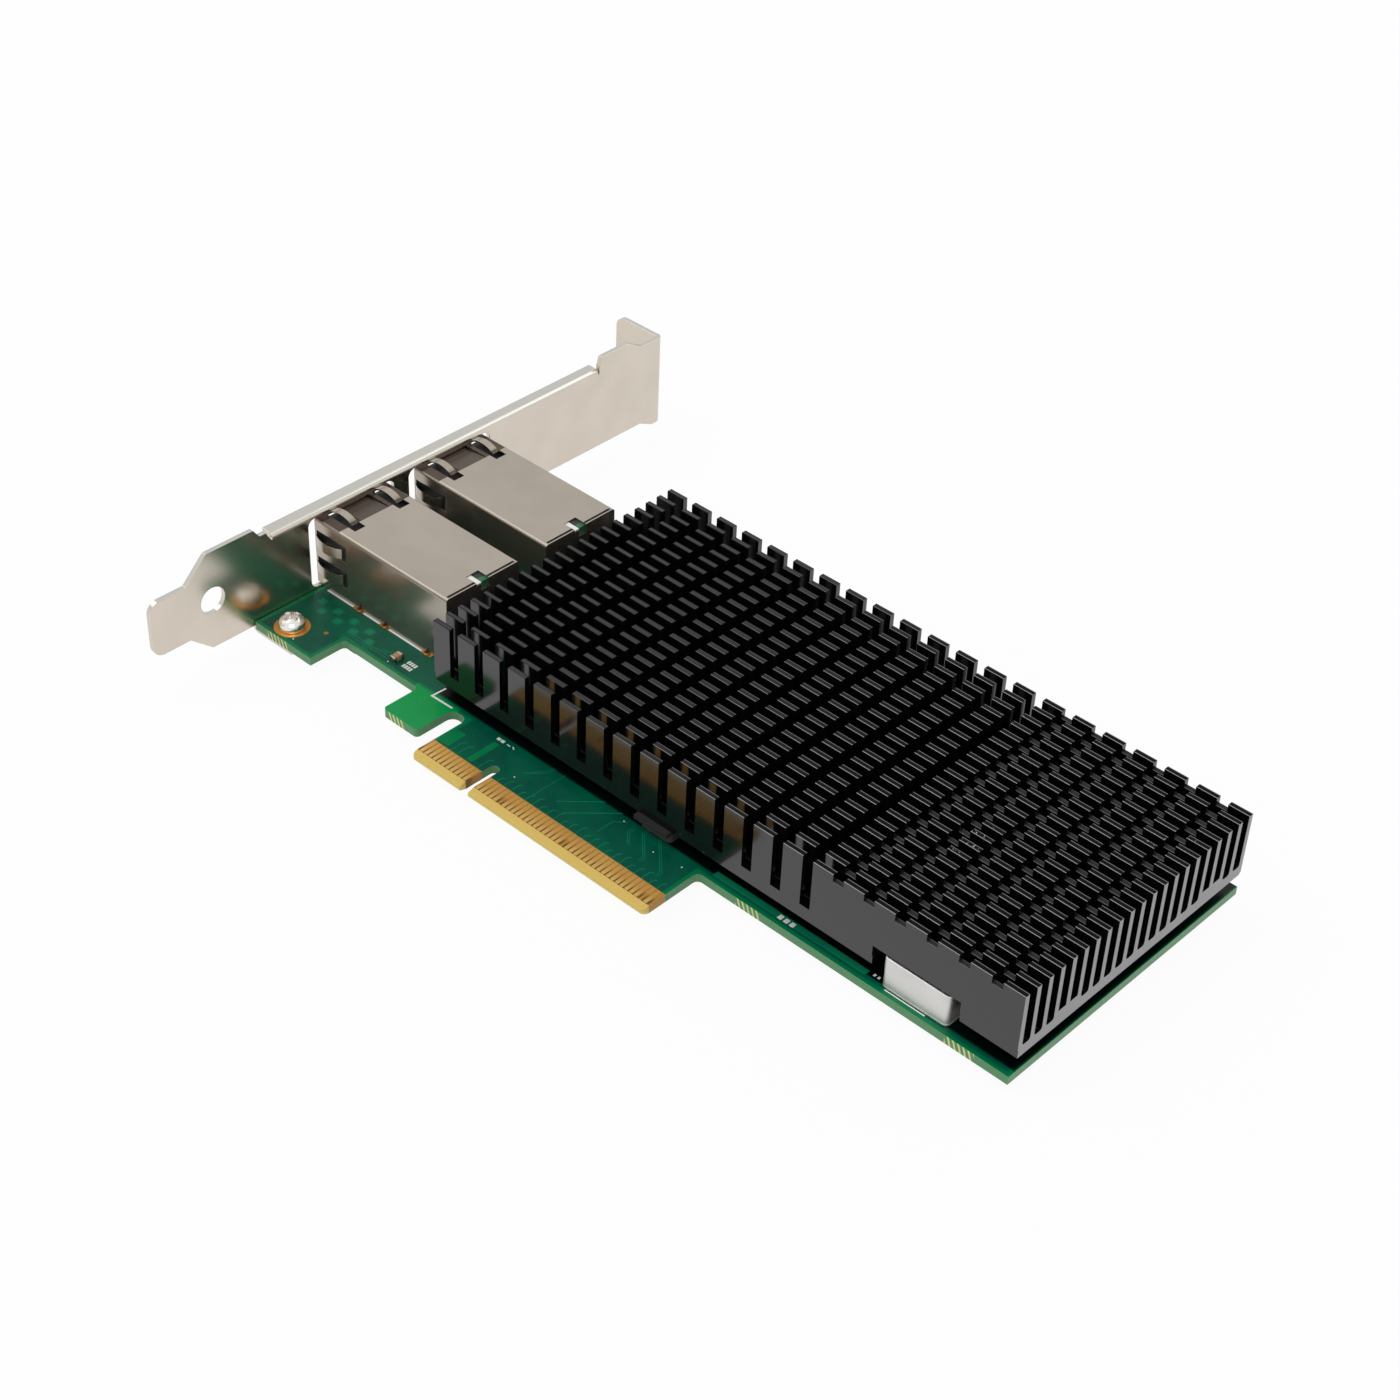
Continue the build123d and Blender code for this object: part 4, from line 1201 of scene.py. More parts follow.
@dataclass
class Screw:
    """A pan head screw with a cross recess and a cut thread, head up, its seat at the level 0.

    Attributes:
        head: Diameter of the head.
        rise: Height of the head.
        dome: Height of its domed part.
        shank: Diameter of the shank.
        length: Length under the head.
        pitch: Pitch of the thread.
        recess: Reach of the recess from the axis.
        arm: Half the width of one arm of the recess.
        sink: Depth of the recess at the axis.
        crown: How late the dome falls off towards its rim.
        thread: Depth of the thread.
        neck: Length over which the thread fades in under the head.
        tip: Length of the tapered tip, and its share of the radius at the end.
        edge: Size of the bevel under the head.
        ramps: Lengths over which the recess's ends and its sides slope.
        shallower: Share of its depth that the recess has lost at its reach.
        around: Points in a ring.
    """

    head: float
    rise: float
    dome: float
    shank: float
    length: float
    pitch: float
    recess: float
    arm: float
    sink: float
    crown: float = 2.6
    thread: float = 0.16
    neck: float = 0.4
    tip: tuple[float, float] = (0.5, 0.45)
    edge: float = 0.12
    ramps: tuple[float, float] = (0.22, 0.1)
    shallower: float = 0.45
    around: int = 72

    def surface(self) -> Surface:
        """Turns the profile and cuts the recess and the thread.

        The thread moves the shank's radius by a triangle wave of height over pitch plus the turn.
        The recess lowers the top by its depth inside a cross, with short sloping walls, less deep
        towards the arms' ends.

        Returns:
            The screw.
        """
        turn = np.arange(self.around) * 2 * math.pi / self.around
        shank_z = np.linspace(-self.length, 0, max(12, int(self.length / self.pitch * 6)))
        wave = np.abs(((shank_z[:, None] / self.pitch + turn / (2 * math.pi)) % 1) * 2 - 1)
        taper = np.clip((shank_z + self.length) / self.tip[0], self.tip[1], 1)[:, None]
        fade = np.clip(-shank_z / self.neck, 0, 1)[:, None]
        shank_r = (self.shank / 2) * taper - self.thread * wave * fade
        half = self.head / 2
        wall_r = np.array([half - self.edge, half, half])
        wall_z = np.array([0.0, self.edge, self.rise - self.dome])
        fall = np.linspace(0, 1, 26)[1:]
        top_r = half * (1 - fall) ** 0.75
        top_z = self.rise - self.dome * (top_r / half) ** self.crown
        head_r = np.repeat(np.concatenate([wall_r, top_r])[:, None], self.around, 1)
        radii = np.concatenate([shank_r, head_r])
        heights = np.concatenate([shank_z, wall_z, top_z])[:, None] + np.zeros((1, self.around))
        x, y = radii * np.cos(turn), radii * np.sin(turn)
        cross = np.zeros_like(x)
        for long, short in ((np.abs(x), np.abs(y)), (np.abs(y), np.abs(x))):
            end = np.clip((self.recess - long) / self.ramps[0], 0, 1)
            side = np.clip((self.arm - short) / self.ramps[1] + 0.5, 0, 1)
            cross = np.maximum(cross, end * side * (1 - self.shallower * long / self.recess))
        top = len(shank_z) + len(wall_z)
        heights[top:] -= self.sink * cross[top:]
        return skin(np.stack([x, y, heights], axis=-1))


@dataclass
class Board:
    """The circuit board's own dress: traces, vias, patches, white marks and solder joints.

    Attributes:
        trace_rise: How far a trace lifts the mask.
        mark_rise: Thickness of a printed mark.
        pad_rise: Height of the leg pads.
        contact_top: Y at which the contacts end.
        sink_edge: Y of the heatsink's near face.
        leg_stations: Distance of the shield legs from the jack's front.
        leg_inset: How far the legs' middles lie inside the jack's walls.
        leg_joint: Reach and height of the legs' solder on the component side.
        leg_joint_out: How far it stands out from the legs' middles.
        peg: Radius and height of each ring of a leg's shoulder.
        peg_out: How far the shoulders stand out from the legs' middles.
        under_joint: Reach and height of the legs' solder on the other side.
        pin_joint: The same of the jacks' pins.
        joint_core: Radius of a joint's narrow end.
        via: Inner radius, outer radius and height of a plated hole's ring.
        back_via: The same on the solder side.
        dot: Lower and upper radius of a small light dot.
        traces: Lines of the traces on the component side, each with its width.
        copper: Broad areas of copper under the mask, as low x, high x, low y and high y.
        bright: Areas where the mask is brighter.
        dots: Places of the small light dots.
        vias: Places of the plated holes on the component side.
        back_vias: Places of those on the solder side.
        marks: White lines, each with its width.
    """

    trace_rise: float = 0.02
    mark_rise: float = 0.03
    pad_rise: float = 0.05
    contact_top: float = 4.9
    sink_edge: float = 13.6
    leg_stations: tuple[float, ...] = (11.01, 17.51, 28.11)
    leg_inset: float = 0.15
    leg_joint: tuple[float, float] = (0.6, 0.22)
    leg_joint_out: float = 0.12
    peg: tuple[Place, ...] = ((0.22, 0.0), (0.16, 0.3), (0.14, 1.0), (0.07, 1.1))
    peg_out: float = 0.36
    under_joint: tuple[float, float] = (0.8, 0.75)
    pin_joint: tuple[float, float] = (0.78, 0.9)
    joint_core: float = 0.3
    via: Triple = (0.1, 0.4, 0.03)
    back_via: Triple = (0.16, 0.34, 0.03)
    dot: tuple[float, float] = (0.15, 0.12)
    traces: list[tuple[float, list[Place]]] = field(default_factory=list)
    copper: list[Box] = field(default_factory=list)
    bright: list[Box] = field(default_factory=list)
    dots: list[Place] = field(default_factory=list)
    vias: list[Place] = field(default_factory=list)
    back_vias: list[Place] = field(default_factory=list)
    marks: list[tuple[float, list[Place]]] = field(default_factory=list)

    def pair(self, path: list[Place], width: float = 0.16, apart: float = 0.45) -> None:
        """Adds two traces side by side, the second one moved along x."""
        self.traces.append((width, path))
        self.traces.append((width, [(x + apart, y) for x, y in path]))

    def traces_up(self) -> None:
        """Traces that leave the contacts: short stubs, and runs that turn by 45 degrees."""
        low = self.contact_top
        for number in range(23):
            start, bend = 2.4 + 1.6 * number, low + 0.9 + 0.45 * (number * 7 % 3)
            self.traces.append((0.22, [(start, low), (start, bend), (start + 0.5, bend + 0.5)]))
        for start in (-8.4, -7.0, -2.2):
            self.traces.append((0.2, [(start, low), (start, low + 2.6), (start + 0.6, low + 3.2)]))
        top = self.sink_edge
        self.traces.append((0.2, [(8.8, 6.4), (9.0, top)]))
        self.pair([(3.9, 9.4), (6.3, 12.3), (6.3, top)])
        self.traces.append((0.2, [(12.4, 8.2), (13.6, 9.3), (17.9, top)]))
        self.traces.append((0.2, [(15.2, 7.0), (16.4, 8.2), (21.8, top)]))
        self.traces.append((0.2, [(22.1, 7.6), (22.1, 11.0), (23.8, 12.7)]))
        self.pair([(25.4, 12.6), (25.4, 11.0), (27.4, 9.0)])
        self.pair([(27.3, top), (27.3, 12.4), (31.2, 8.5), (31.2, 7.6)])
        self.pair([(30.1, top), (30.1, 13.2), (35.4, 7.9), (35.4, 6.8)])

    def lay_out(self) -> None:
        """Writes down where everything on the faces goes."""
        self.traces_up()
        for number in range(4):
            bend, level = -40.0 + 1.4 * number, 12.0 + 0.7 * number
            path = [(-44.0, level), (bend, level), (bend + 1.6, level + 1.6), (-33.8, level + 1.6)]
            self.traces.append((0.18, path))
        for number in range(5):
            start, level = -50.0 + 2 * number, 60.2 + 1.3 * number
            path = [(start, level + 1.2), (-36.0, level + 1.2), (-34.8, level), (-22.0, level)]
            self.traces.append((0.24, path))
        self.copper = [
            (-24.3, -21.8, 20.0, 34.0),
            (-24.3, -21.8, 43.0, 58.0),
            (41.5, 72.0, 13.2, 14.4),
            (-56.0, -22.5, 36.8, 41.2),
        ]
        self.bright = [(-11.9, -9.4, 5.3, 9.3), (-5.1, -3.8, 5.3, 11.4)]
        self.vias = [(-46.1, 10.9)]
        self.dots = [(3.6, 7.6), (23.3, 12.4), (31.5, 10.5), (37.0, 11.1), (-48.7, 5.9), (-33.0, 13.2)]
        spread = np.random.default_rng(7)
        for x in np.arange(-52.0, 96.0, 4.6):
            for y in (16.0, 33.0, 46.0, 63.5):
                shift_x, shift_y = spread.uniform(-1.6, 1.6), spread.uniform(-2.4, 2.4)
                self.back_vias.append((float(x + shift_x), float(y + shift_y)))
        self.marks = [
            (0.38, [(-20.8, 15.2), (-20.95, 12.25), (-16.2, 12.4)]),
            (0.2, [(-2.0, 12.6), (-1.4, 12.2)]),
        ]
        self.bar(0.22, 7.6, (76.0, 12.9))
        self.bar(0.6, 0.7, (-5.4, 12.4), (-4.5, 12.4))
        self.bar(0.2, 0.7, (-3.1, 12.35))
        self.bar(0.5, 0.4, (72.9, 14.2), (73.7, 14.2))
        self.bar(0.85, 0.4, *((-30.5 + 0.56 * step, y) for step in range(4) for y in (14.35, 15.5)))
        self.bar(0.95, 0.8, *((54.7 + 1.2 * step, 13.6) for step in range(3)))

    def bar(self, width: float, length: float, *starts: Place) -> None:
        """Adds white bars along x that start at these places."""
        self.marks += [(width, [(x, y), (x + length, y)]) for x, y in starts]

    def plate(self, box: Box, rise: float) -> Surface:
        """A thin plate over an x and y range of the component side.

        Args:
            box: Low x, high x, low y and high y.
            rise: Its thickness.

        Returns:
            The plate.
        """
        low_x, high_x, low_y, high_y = box
        middle = (low_y + high_y) / 2
        return ribbon([(low_x, middle), (high_x, middle)], high_y - low_y, 0.0, rise)

    def joint(self, size: tuple[float, float], stretch: float = 1.0) -> Surface:
        """A solder fillet: its radius falls as a power of one minus the height share.

        Args:
            size: Its reach and its height.
            stretch: How much it is stretched along x.

        Returns:
            The fillet, closed by a small cap.
        """
        reach, rise = size
        share = np.linspace(0, 1, 7)
        radii = self.joint_core + (reach - self.joint_core) * (1 - share) ** 2.2
        cap_radius, cap_rise = 0.4 * self.joint_core, 1.06 * rise
        heights = [*(rise * share), cap_rise]
        return lathe([*radii, cap_radius], heights, 16, (stretch, 1.0))

    def stood(self, shape: Surface, side: Side, x: float, y: float) -> Surface:
        """A shape stood on one side of the board.

        Args:
            shape: The shape, standing on the level 0.
            side: The side, on which it hangs head down if that is the solder side.
            x: Its place along the board.
            y: Its place across the board.

        Returns:
            The shape in its place.
        """
        if side is Side.COMPONENT:
            return shape.moved(x, y, self.pad_rise)
        return shape.flipped(solder_face()).moved(x, y, 0)

    def build(self) -> None:
        """Makes the pieces on both faces and dresses the board."""
        self.lay_out()
        Wardrobe.dress(GREEN_LAMINATE, "circuit_board")
        back = solder_face()
        traces = joined([ribbon(path, width, 0.0, self.trace_rise) for width, path in self.traces])
        copper = joined([self.plate(box, self.trace_rise * 0.8) for box in self.copper])
        joined([traces, copper, traces.flipped(back)]).piece("board_traces", MASK_OVER_COPPER)
        bright = joined([self.plate(box, self.trace_rise) for box in self.bright])
        bright.piece("board_bright_mask", BRIGHT_MASK)
        vias = [hoop(*self.via).moved(x, y, 0) for x, y in self.vias]
        vias += [hoop(*self.back_via).moved(x, y, 0).flipped(back) for x, y in self.back_vias]
        joined(vias).piece("board_vias", PAD_GOLD, "gold_plate")
        marks = [ribbon(path, width, 0.0, self.mark_rise, 0.01) for width, path in self.marks]
        dot = lathe(self.dot, (0.0, self.mark_rise), 12)
        marks += [dot.moved(x, y, 0) for x, y in self.dots]
        joined(marks).piece("board_marks", MARKING_WHITE)
        self.solder()

    def solder(self) -> None:
        """Makes the joints of the shield legs, with the legs' shoulders, and of the jacks' pins."""
        top, pegs, under = [], [], []
        peg = lathe(*zip(*self.peg), 12)
        for port in (1, 2):
            low, high = span(f"port_{port}_shield")
            middle, half = (low[1] + high[1]) / 2, JACK_WIDTH / 2
            for outward in (-1, 1):
                y = middle + outward * (half - self.leg_inset)
                for station in self.leg_stations:
                    x = low[0] + station
                    joint_y, peg_y = y + outward * self.leg_joint_out, y + outward * self.peg_out
                    joint = self.joint(self.leg_joint, 1.1)
                    top.append(self.stood(joint, Side.COMPONENT, x, joint_y))
                    pegs.append(self.stood(peg, Side.COMPONENT, x, peg_y))
                    under.append(self.stood(self.joint(self.under_joint, 1.35), Side.SOLDER, x, y))
            pins = places(f"port_{port}_solder_pins", 0.3, 5)
            under += [self.stood(self.joint(self.pin_joint), Side.SOLDER, x, y) for x, y in pins]
        joined(top).piece("leg_joints", JOINT_GOLD, "gold_plate")
        joined(pegs).piece("leg_shoulders", LEG_PEG, "tin_plate")
        joined(under).piece("solder_joints", SOLDER, "tin_plate")


@dataclass
class Bracket:
    """The folded bracket with its two screws.

    Attributes:
        head: Diameter of a screw's head.
        shank: Diameter of its shank.
        dome: Height of the head's dome.
        pitch: Pitch of the thread.
        seat: Height of the heads' seat.
        recess: Reach of the cross recess, half the width of its arms and its depth.
        crown: How late the heads' domes fall off.
    """

    head: float = 4.6
    shank: float = 2.5
    dome: float = 1.0
    pitch: float = 0.45
    seat: float = 0.05
    recess: Triple = (1.45, 0.3, 0.9)
    crown: float = 3.6

    def build(self) -> None:
        """Dresses the bracket and the ring pads and makes the screws."""
        Wardrobe.dress(BRACKET_NICKEL, "io_bracket")
        Wardrobe.dress(PAD_GOLD, "ground_pads")
        low, high = span("bracket_screws")
        rise, length = float(high[2]) - self.seat, self.seat - float(low[2])
        sizes = (self.head, rise, self.dome, self.shank, length, self.pitch)
        screw = Screw(*sizes, *self.recess, crown=self.crown).surface()
        stands = places("bracket_screws", self.head / 2)
        made = joined([screw.moved(x, y, self.seat) for x, y in stands])
        piece = made.piece("bracket_pan_screws", SCREW_CHROME, "screw_plating")
        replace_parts(piece, "bracket_screws")


@dataclass
class Jacks:
    """The two shielded jacks.

    Attributes:
        ports: Their numbers.
        finishes: The finish of each node of a jack.
        tab: Length, depth and thickness of the tab that bends down in the rear notch, its near-white
            tone a painted highlight.
        tab_fall: How far it falls for each millimetre.
        tab_place: Its middle, back from the jack's rear, off the jack's middle and under the top.
        lip: Thickness, depth and height of the lip under the front rim of the top, its dark tone a
            painted shade and reflection.
        lip_place: Its middle, back from the jack's front and off the jack's middle, and its foot.
        edges: Radius of the edges of the tab, the lip and the foot line.
        line_runs: Start and end of each run of the pale foot line, from the jack's front.
        line: Thickness, lowest and highest level of that line.
    """

    ports: tuple[int, ...] = (1, 2)
    finishes: tuple[tuple[str, Finish], ...] = (
        ("shield", SHIELD_TIN),
        ("housing", BLACK_PLASTIC),
        ("contacts", PAD_GOLD),
        ("light_pipes", LIGHT_PIPE),
        ("inner_board", PACKAGE_LAMINATE),
        ("solder_pins", SOLDER),
    )
    tab: Triple = (2.6, 1.1, 0.13)
    tab_fall: float = 0.03
    tab_place: Triple = (1.36, -0.84, 0.19)
    lip: Triple = (0.24, 8.5, 0.64)
    lip_place: Triple = (0.5, 0.7, 12.62)
    edges: Triple = (0.06, 0.08, 0.015)
    line_runs: tuple[Place, ...] = ((2.8, 9.6), (12.0, 16.5), (18.4, 27.0))
    line: Triple = (0.4, 0.0, 0.05)

    def build(self) -> None:
        """Dresses every node of both jacks and adds the rear tabs, the lips and the foot lines."""
        tabs, lips, lines = [], [], []
        thick, foot, head = self.line
        tab_edge, lip_edge, line_edge = self.edges
        for port in self.ports:
            for part, finish in self.finishes:
                Wardrobe.dress(finish, f"port_{port}_{part}")
            low, high = span(f"port_{port}_shield")
            middle = (low[1] + high[1]) / 2
            back, aside, drop = self.tab_place
            tab = rounded_block(*self.tab, tab_edge).leaning(self.tab_fall)
            tabs.append(tab.moved(high[0] - back, middle + aside, SHIELD_TOP - drop))
            front, aside, level = self.lip_place
            lip = rounded_block(*self.lip, lip_edge)
            lips.append(lip.moved(low[0] + front, middle + aside, level))
            wall = middle - JACK_WIDTH / 2 - thick / 2
            for start, end in self.line_runs:
                run = rounded_block(end - start, thick, head - foot, line_edge)
                lines.append(run.moved(low[0] + (start + end) / 2, wall, foot))
        joined(tabs).piece("shield_tabs", TAB_PAINTED_HIGHLIGHT, "shield_plating")
        joined(lips).piece("shield_lips", LIP_PAINTED_SHADE, "shield_plating")
        joined(lines).piece("shield_foot_lines", MARKING_WHITE)


@dataclass
class Heatsink:
    """The finned heatsink with what holds it.

    Attributes:
        head: Diameter of a screw's head.
        rise: Height of the head.
        dome: Height of its domed part.
        shank: Diameter of the shank.
        pitch: Pitch of the thread.
        recess: Reach of the cross recess, half the width of its arms and its depth.
    """

    head: float = 5.5
    rise: float = 1.3
    dome: float = 0.8
    shank: float = 3.0
    pitch: float = 0.5
    recess: Triple = (1.65, 0.34, 0.85)

    def build(self) -> None:
        """Dresses the heatsink, its spacers and washers, and makes its screws, head down."""
        Wardrobe.dress(BLACK_ANODISE, "heatsink")
        Wardrobe.dress(SPACER_METAL, "heatsink_spacers")
        Wardrobe.dress(WASHER_FIBRE, "heatsink_washers")
        low, high = span("heatsink_screws")
        seat = float(low[2]) + self.rise
        length = float(high[2]) - seat
        sizes = (self.head, self.rise, self.dome, self.shank, length, self.pitch)
        screw = Screw(*sizes, *self.recess).surface().flipped(0)
        stands = places("heatsink_screws", self.head / 2)
        made = joined([screw.moved(x, y, seat) for x, y in stands])
        piece = made.piece("heatsink_pan_screws", SCREW_CHROME, "screw_plating")
        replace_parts(piece, "heatsink_screws")


@dataclass
class SmallParts:
    """The crystal, the controller and the chip parts.

    Attributes:
        can_radius: Radius of the crystal can's upright corners.
        can_lip: How far the lip at its foot stands out.
        can_crown: Radius at its top edge.
        can_drop: How far its foot reaches down over the base.
        can_foot: Inset and height of each ring of the lip.
        can_wall: Heights of the two rings where the wall starts.
        can_top: How far the crowned top rises over its round edge, and inset of its two rings.
        foot_inset: How far the base stays behind the can's walls.
        foot_hidden: How far the base reaches up into the can.
        foot_edge: Radius of the base's edges.
        ring: How far the capacitors lie from the controller's middle.
        ring_steps: Where they lie along each side of it.
        back_steps: Where the capacitors on the solder side lie, both ways.
        open_place: Place of the capacitor in the open.
        capacitor: Width, length and height of a capacitor.
        resistor: The same of a resistor.
        back_capacitor: The same of a capacitor on the solder side.
        end_share: Share of a chip part's length that each end takes.
        body_in: How much smaller its body is than its ends.
        body_edge: Radius of the body's edges.
        end_edge: Radius of the ends' edges.
    """

    can_radius: float = 1.0
    can_lip: float = 0.04
    can_crown: float = 0.22
    can_drop: float = 0.3
    can_foot: tuple[Place, ...] = ((0.05, 0.0), (0.0, 0.05), (0.0, 0.3), (0.03, 0.36))
    can_wall: tuple[float, float] = (0.42, 0.6)
    can_top: Triple = (0.03, 0.8, 1.2)
    foot_inset: float = 0.2
    foot_hidden: float = 0.05
    foot_edge: float = 0.08
    ring: float = 15.1
    ring_steps: tuple[float, ...] = (-7.5, -2.5, 2.5, 7.5)
    back_steps: tuple[float, ...] = (-6.0, -2.0, 2.0, 6.0)
    open_place: Place = (-32.4, 14.7)
    capacitor: Triple = (1.25, 2.0, 1.0)
    resistor: Triple = (0.8, 1.6, 0.45)
    back_capacitor: Triple = (0.8, 1.6, 0.8)
    end_share: float = 0.24
    body_in: float = 0.06
    body_edge: float = 0.06
    end_edge: float = 0.09

    def crystal(self) -> None:
        """Draws the crystal's can.

        Each ring is the rounded outline moved in by an inset: at a corner the point is the corner's
        middle plus the corner radius less the inset along its turn. The profile goes up the lip, in
        to the wall, up, and over a quarter round to the slightly crowned top.
        """
        low, high = span("crystal_base")
        foot, high[2] = float(high[2]) - self.can_drop, span("crystal_can")[1][2]
        middle, half = (low + high) / 2, (high - low) / 2
        turn, side_x, side_y = corners(9)
        lip_in, lip_up = zip(*self.can_foot)
        crowned, first_in, last_in = self.can_top
        bend = np.linspace(0, math.pi / 2, 8)
        over_in = self.can_lip + self.can_crown * (1 - np.cos(bend))
        inset = np.concatenate([lip_in, np.full(2, self.can_lip), over_in, [first_in, last_in]])
        height = high[2] - foot
        over_up = height - crowned - self.can_crown * (1 - np.sin(bend))
        top_up = [height - crowned / 3, height]
        rise = np.concatenate([lip_up, self.can_wall, over_up, top_up])
        reach = np.clip(self.can_radius - inset, 0.1, None)[:, None]
        x = middle[0] + side_x * (half[0] - self.can_radius) + reach * np.cos(turn)
        y = middle[1] + side_y * (half[1] - self.can_radius) + reach * np.sin(turn)
        z = foot + np.broadcast_to(rise[:, None], x.shape)
        can = skin(np.stack([x, y, z], axis=-1))
        piece = can.piece("crystal_case", CRYSTAL_STEEL, "crystal_metal")
        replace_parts(piece, "crystal_can")
        length, depth = 2 * half[:2] - 2 * self.foot_inset
        plate = rounded_block(length, depth, foot + self.foot_hidden, self.foot_edge)
        plate = plate.moved(middle[0], middle[1], 0)
        piece = plate.piece("crystal_foot", INSULATOR, "insulator_plastic")
        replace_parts(piece, "crystal_base")

    def chips(self) -> None:
        """Draws the ceramic capacitors and the chip resistors, each a body with two metal ends."""
        low, high = span("controller_lid")
        middle = (low + high) / 2
        steps = [(step, side * self.ring) for step in self.ring_steps for side in (-1, 1)]
        around = [(middle[0] + s, middle[1] + r) for s, r in steps]
        beside = [(middle[0] + r, middle[1] + s) for s, r in steps]
        across = self.chip(self.capacitor, Lie.ACROSS)
        along = self.chip(self.capacitor, Lie.ALONG)
        standing = [(across, place) for place in [*around, self.open_place]]
        standing += [(along, place) for place in beside]
        ceramic = (CAPACITOR_CERAMIC, "capacitor_ceramic")
        self.row(standing, "capacitor", *ceramic, "ceramic_capacitors")
        resistor = self.chip(self.resistor, Lie.ALONG)
        low, high = span("chip_resistors")
        half_width, half = self.resistor[0] / 2, self.resistor[1] / 2
        xs = (low[0] + half, high[0] - half)
        ys = np.linspace(low[1] + half_width, high[1] - half_width, 4)
        standing = [(resistor, (float(x), float(y))) for x in xs for y in ys]
        self.row(standing, "resistor", RESISTOR_BODY, "resistor_body", "chip_resistors")
        body, ends = self.chip(self.back_capacitor, Lie.ALONG)
        turned = (body.flipped(solder_face()), ends.flipped(solder_face()))
        steps = [(i, j) for i in self.back_steps for j in self.back_steps]
        standing = [(turned, (middle[0] + i, middle[1] + j)) for i, j in steps]
        self.row(standing, "back_capacitor", *ceramic, "solder_side_capacitors")

    def row(
        self,
        standing: Sequence[tuple[tuple[Surface, Surface], Place]],
        name: str,
        finish: Finish,
        slot: str,
        node: str,
    ) -> None:
        """Makes the bodies and the ends of many chip parts in place of a CAD node.

        Args:
            standing: Each part's body and ends with its place.
            name: What the parts are called.
            finish: Finish of the bodies.
            slot: Material slot of the bodies.
            node: The CAD node that they take the place of.
        """
        ends = joined([ends.moved(x, y, 0) for (_, ends), (x, y) in standing])
        ends.piece(f"{name}_ends", SOLDER, "tin_plate")
        bodies = joined([body.moved(x, y, 0) for (body, _), (x, y) in standing])
        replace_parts(bodies.piece(f"{name}_bodies", finish, slot), node)

    def chip(self, size: Triple, lie: Lie) -> tuple[Surface, Surface]:
        """One chip part.

        Args:
            size: Its width, its length with both ends, and its height.
            lie: Which way its length runs.

        Returns:
            The body, a little smaller all round, and the two ends.
        """
        width, length, height = size
        cap = length * self.end_share
        shift = (length - cap) / 2
        slim, short, low = width - self.body_in, length - self.body_in, height - self.body_in / 2
        if lie is Lie.ACROSS:
            body = rounded_block(slim, short, low, self.body_edge)
            end, away = rounded_block(width, cap, height, self.end_edge), (0, shift, 0)
        else:
            body = rounded_block(short, slim, low, self.body_edge)
            end, away = rounded_block(cap, width, height, self.end_edge), (shift, 0, 0)
        return body, joined([end.moved(*(-step for step in away)), end.moved(*away)])

    def build(self) -> None:
        """Makes and dresses all the small parts."""
        self.crystal()
        self.chips()
        Wardrobe.dress(PACKAGE_LAMINATE, "controller_substrate")
        Wardrobe.dress(LID_NICKEL, "controller_lid")
        Wardrobe.dress(GAP_PAD, "controller_thermal_pad", "power_thermal_pad")
        Wardrobe.dress(FERRITE, "power_inductors")
        Wardrobe.dress(CHIP_MOULD, "regulator_chips", "flash_memory")


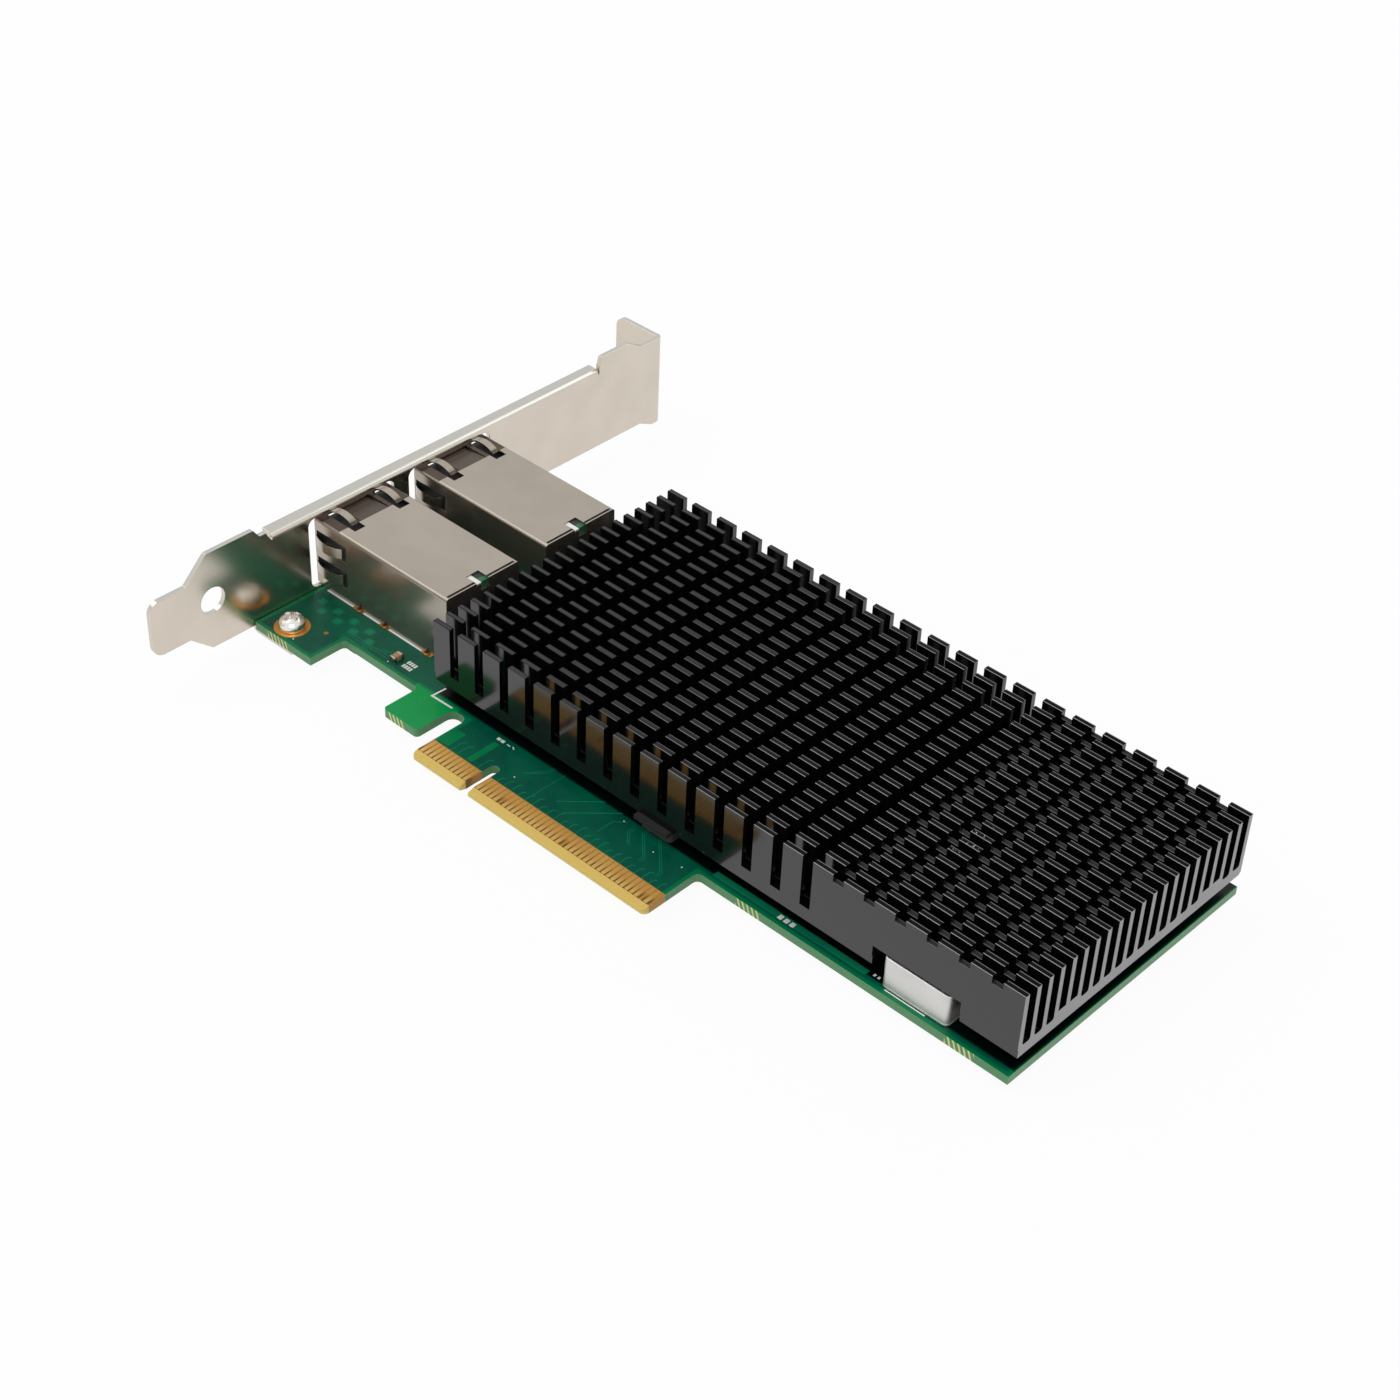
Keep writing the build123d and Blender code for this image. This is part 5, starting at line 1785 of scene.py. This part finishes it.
@dataclass
class Studio:
    """Camera, lamps, white surroundings and floor.

    Attributes:
        eye: Where the camera stands.
        turn: How far it is turned about the upright axis, in degrees.
        tilt: How far it looks down, in degrees.
        roll: How far it leans, in degrees.
        lens: Focal length in millimetres on a 36 mm wide frame.
        level: Strength of the light from all round.
        shown: Share of plain white in what the camera sees of the floor.
        lamps: Place, width, depth and power of each lamp.
        aim: The point that the lamps look at.
        ground: How far the floor reaches each way.
        paper: Darker and lighter tone of the floor.
    """

    eye: Triple = (237.4, -211.7, 267.4)
    turn: float = 41.67
    tilt: float = 38.08
    roll: float = 2.69
    lens: float = 67.44
    level: float = 0.5
    shown: float = 0.95
    lamps: tuple[tuple[Triple, float, float, float], ...] = (
        ((-0.7, -0.25, 1.1), 0.9, 0.9, 5.0),
        ((0.75, -0.7, 0.9), 0.8, 0.8, 2.2),
        ((0.2, 1.0, 0.9), 1.0, 0.6, 2.2),
    )
    aim: Triple = (0.02, 0.04, 0.0)
    ground: float = 6.0
    paper: tuple[Colour, Colour] = ((0.93, 0.93, 0.93, 1.0), (0.95, 0.95, 0.95, 1.0))

    def camera(self) -> None:
        """Sets the camera: its back axis from turn and tilt, its side axis level, then rolled."""
        turn, tilt, roll = (math.radians(a) for a in (self.turn, self.tilt, self.roll))
        level = math.cos(tilt)
        back = Vector((math.sin(turn) * level, -math.cos(turn) * level, math.sin(tilt)))
        side = (-back).cross(Vector((0, 0, 1))).normalized()
        up = side.cross(-back)
        right = math.cos(roll) * side + math.sin(roll) * up
        top = math.cos(roll) * up - math.sin(roll) * side
        matrix = Matrix((right, top, back)).transposed().to_4x4()
        matrix.translation = Vector(self.eye) * MM
        data = bpy.data.cameras.new("camera")
        data.lens, data.sensor_width = self.lens, 36.0
        data.clip_start, data.clip_end = 0.01, 20.0
        camera = bpy.data.objects.new("camera", data)
        camera.matrix_world = matrix
        bpy.context.scene.collection.objects.link(camera)
        bpy.context.scene.camera = camera

    def seen(self, graph: Graph) -> Value:
        """1 for what the camera sees itself, in a mirror or through glass, and 0 for other light."""
        path = graph.node("ShaderNodeLightPath", output="Is Camera Ray")
        return path.most(path.out("Is Glossy Ray")).most(path.out("Is Transmission Ray"))

    def light(self) -> None:
        """Sets the lamps and the white surroundings."""
        for number, (place, width, depth, power) in enumerate(self.lamps, start=1):
            data = bpy.data.lights.new(f"lamp_{number}", "AREA")
            data.shape, data.size, data.size_y, data.energy = "RECTANGLE", width, depth, power
            lamp = bpy.data.objects.new(f"lamp_{number}", data)
            lamp.location = place
            line = Vector(self.aim) - Vector(place)
            lamp.rotation_euler = line.to_track_quat("-Z", "Y").to_euler()
            bpy.context.scene.collection.objects.link(lamp)
        world = bpy.data.worlds.new("surroundings")
        graph = Graph(world)
        strength = self.level + (1 - self.level) * self.seen(graph)
        back = graph.node("ShaderNodeBackground", inputs={"Color": WHITE, "Strength": strength})
        graph.node("ShaderNodeOutputWorld", inputs={"Surface": back})
        bpy.context.scene.world = world

    def floor(self, height: float) -> None:
        """Lays the pale floor.

        Args:
            height: Its height in metres.
        """
        count = 9
        across = np.linspace(-self.ground, self.ground, count)
        x, y = np.meshgrid(across, across, indexing="ij")
        points = np.stack([x, y, np.full_like(x, height)], axis=-1).reshape(-1, 3)
        rows = np.arange(count * count).reshape(count, count)
        faces = np.stack([rows[:-1, :-1], rows[1:, :-1], rows[1:, 1:], rows[:-1, 1:]], -1)
        mesh = bpy.data.meshes.new("floor")
        mesh.from_pydata(points.tolist(), [], faces.reshape(-1, 4).tolist())
        graph = Graph(bpy.data.materials.new("floor_paper"))
        grain = graph.noise(graph.place(), 0.4, 2.0)
        tone, normal = graph.mix(grain, *self.paper), graph.relief(grain, 0.02)
        lit = graph.shader({"Base Color": tone, "Roughness": 0.9, "Normal": normal})
        bare = graph.node("ShaderNodeEmission", inputs={"Color": WHITE, "Strength": 1.0})
        surface = graph.layered(self.seen(graph) * self.shown, lit, bare)
        mesh.materials.append(graph.finish(surface))
        floor = bpy.data.objects.new("floor", mesh)
        bpy.context.scene.collection.objects.link(floor)
        floor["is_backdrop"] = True

    def build(self, height: float) -> None:
        """Sets everything round the card.

        Args:
            height: Height of the floor in metres.
        """
        self.camera()
        self.light()
        self.floor(height)
        bpy.context.scene.view_settings.view_transform = "Standard"


def plain(corners: Any) -> list[list[float]]:
    """Two corners of a box as plain lists."""
    return [[float(number) for number in corner] for corner in corners]


def main() -> None:
    """Builds the looks of the card in order."""
    logging.basicConfig(level=logging.INFO, format="%(name)s: %(message)s")
    cad = plain(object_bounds())
    Studio().build(cad[0][2])
    Board().build()
    Wardrobe.dress(EDGE_GOLD, "contacts_component_side", "contacts_solder_side")
    Bracket().build()
    Jacks().build()
    Heatsink().build()
    SmallParts().build()


if __name__ == "__main__":
    main()
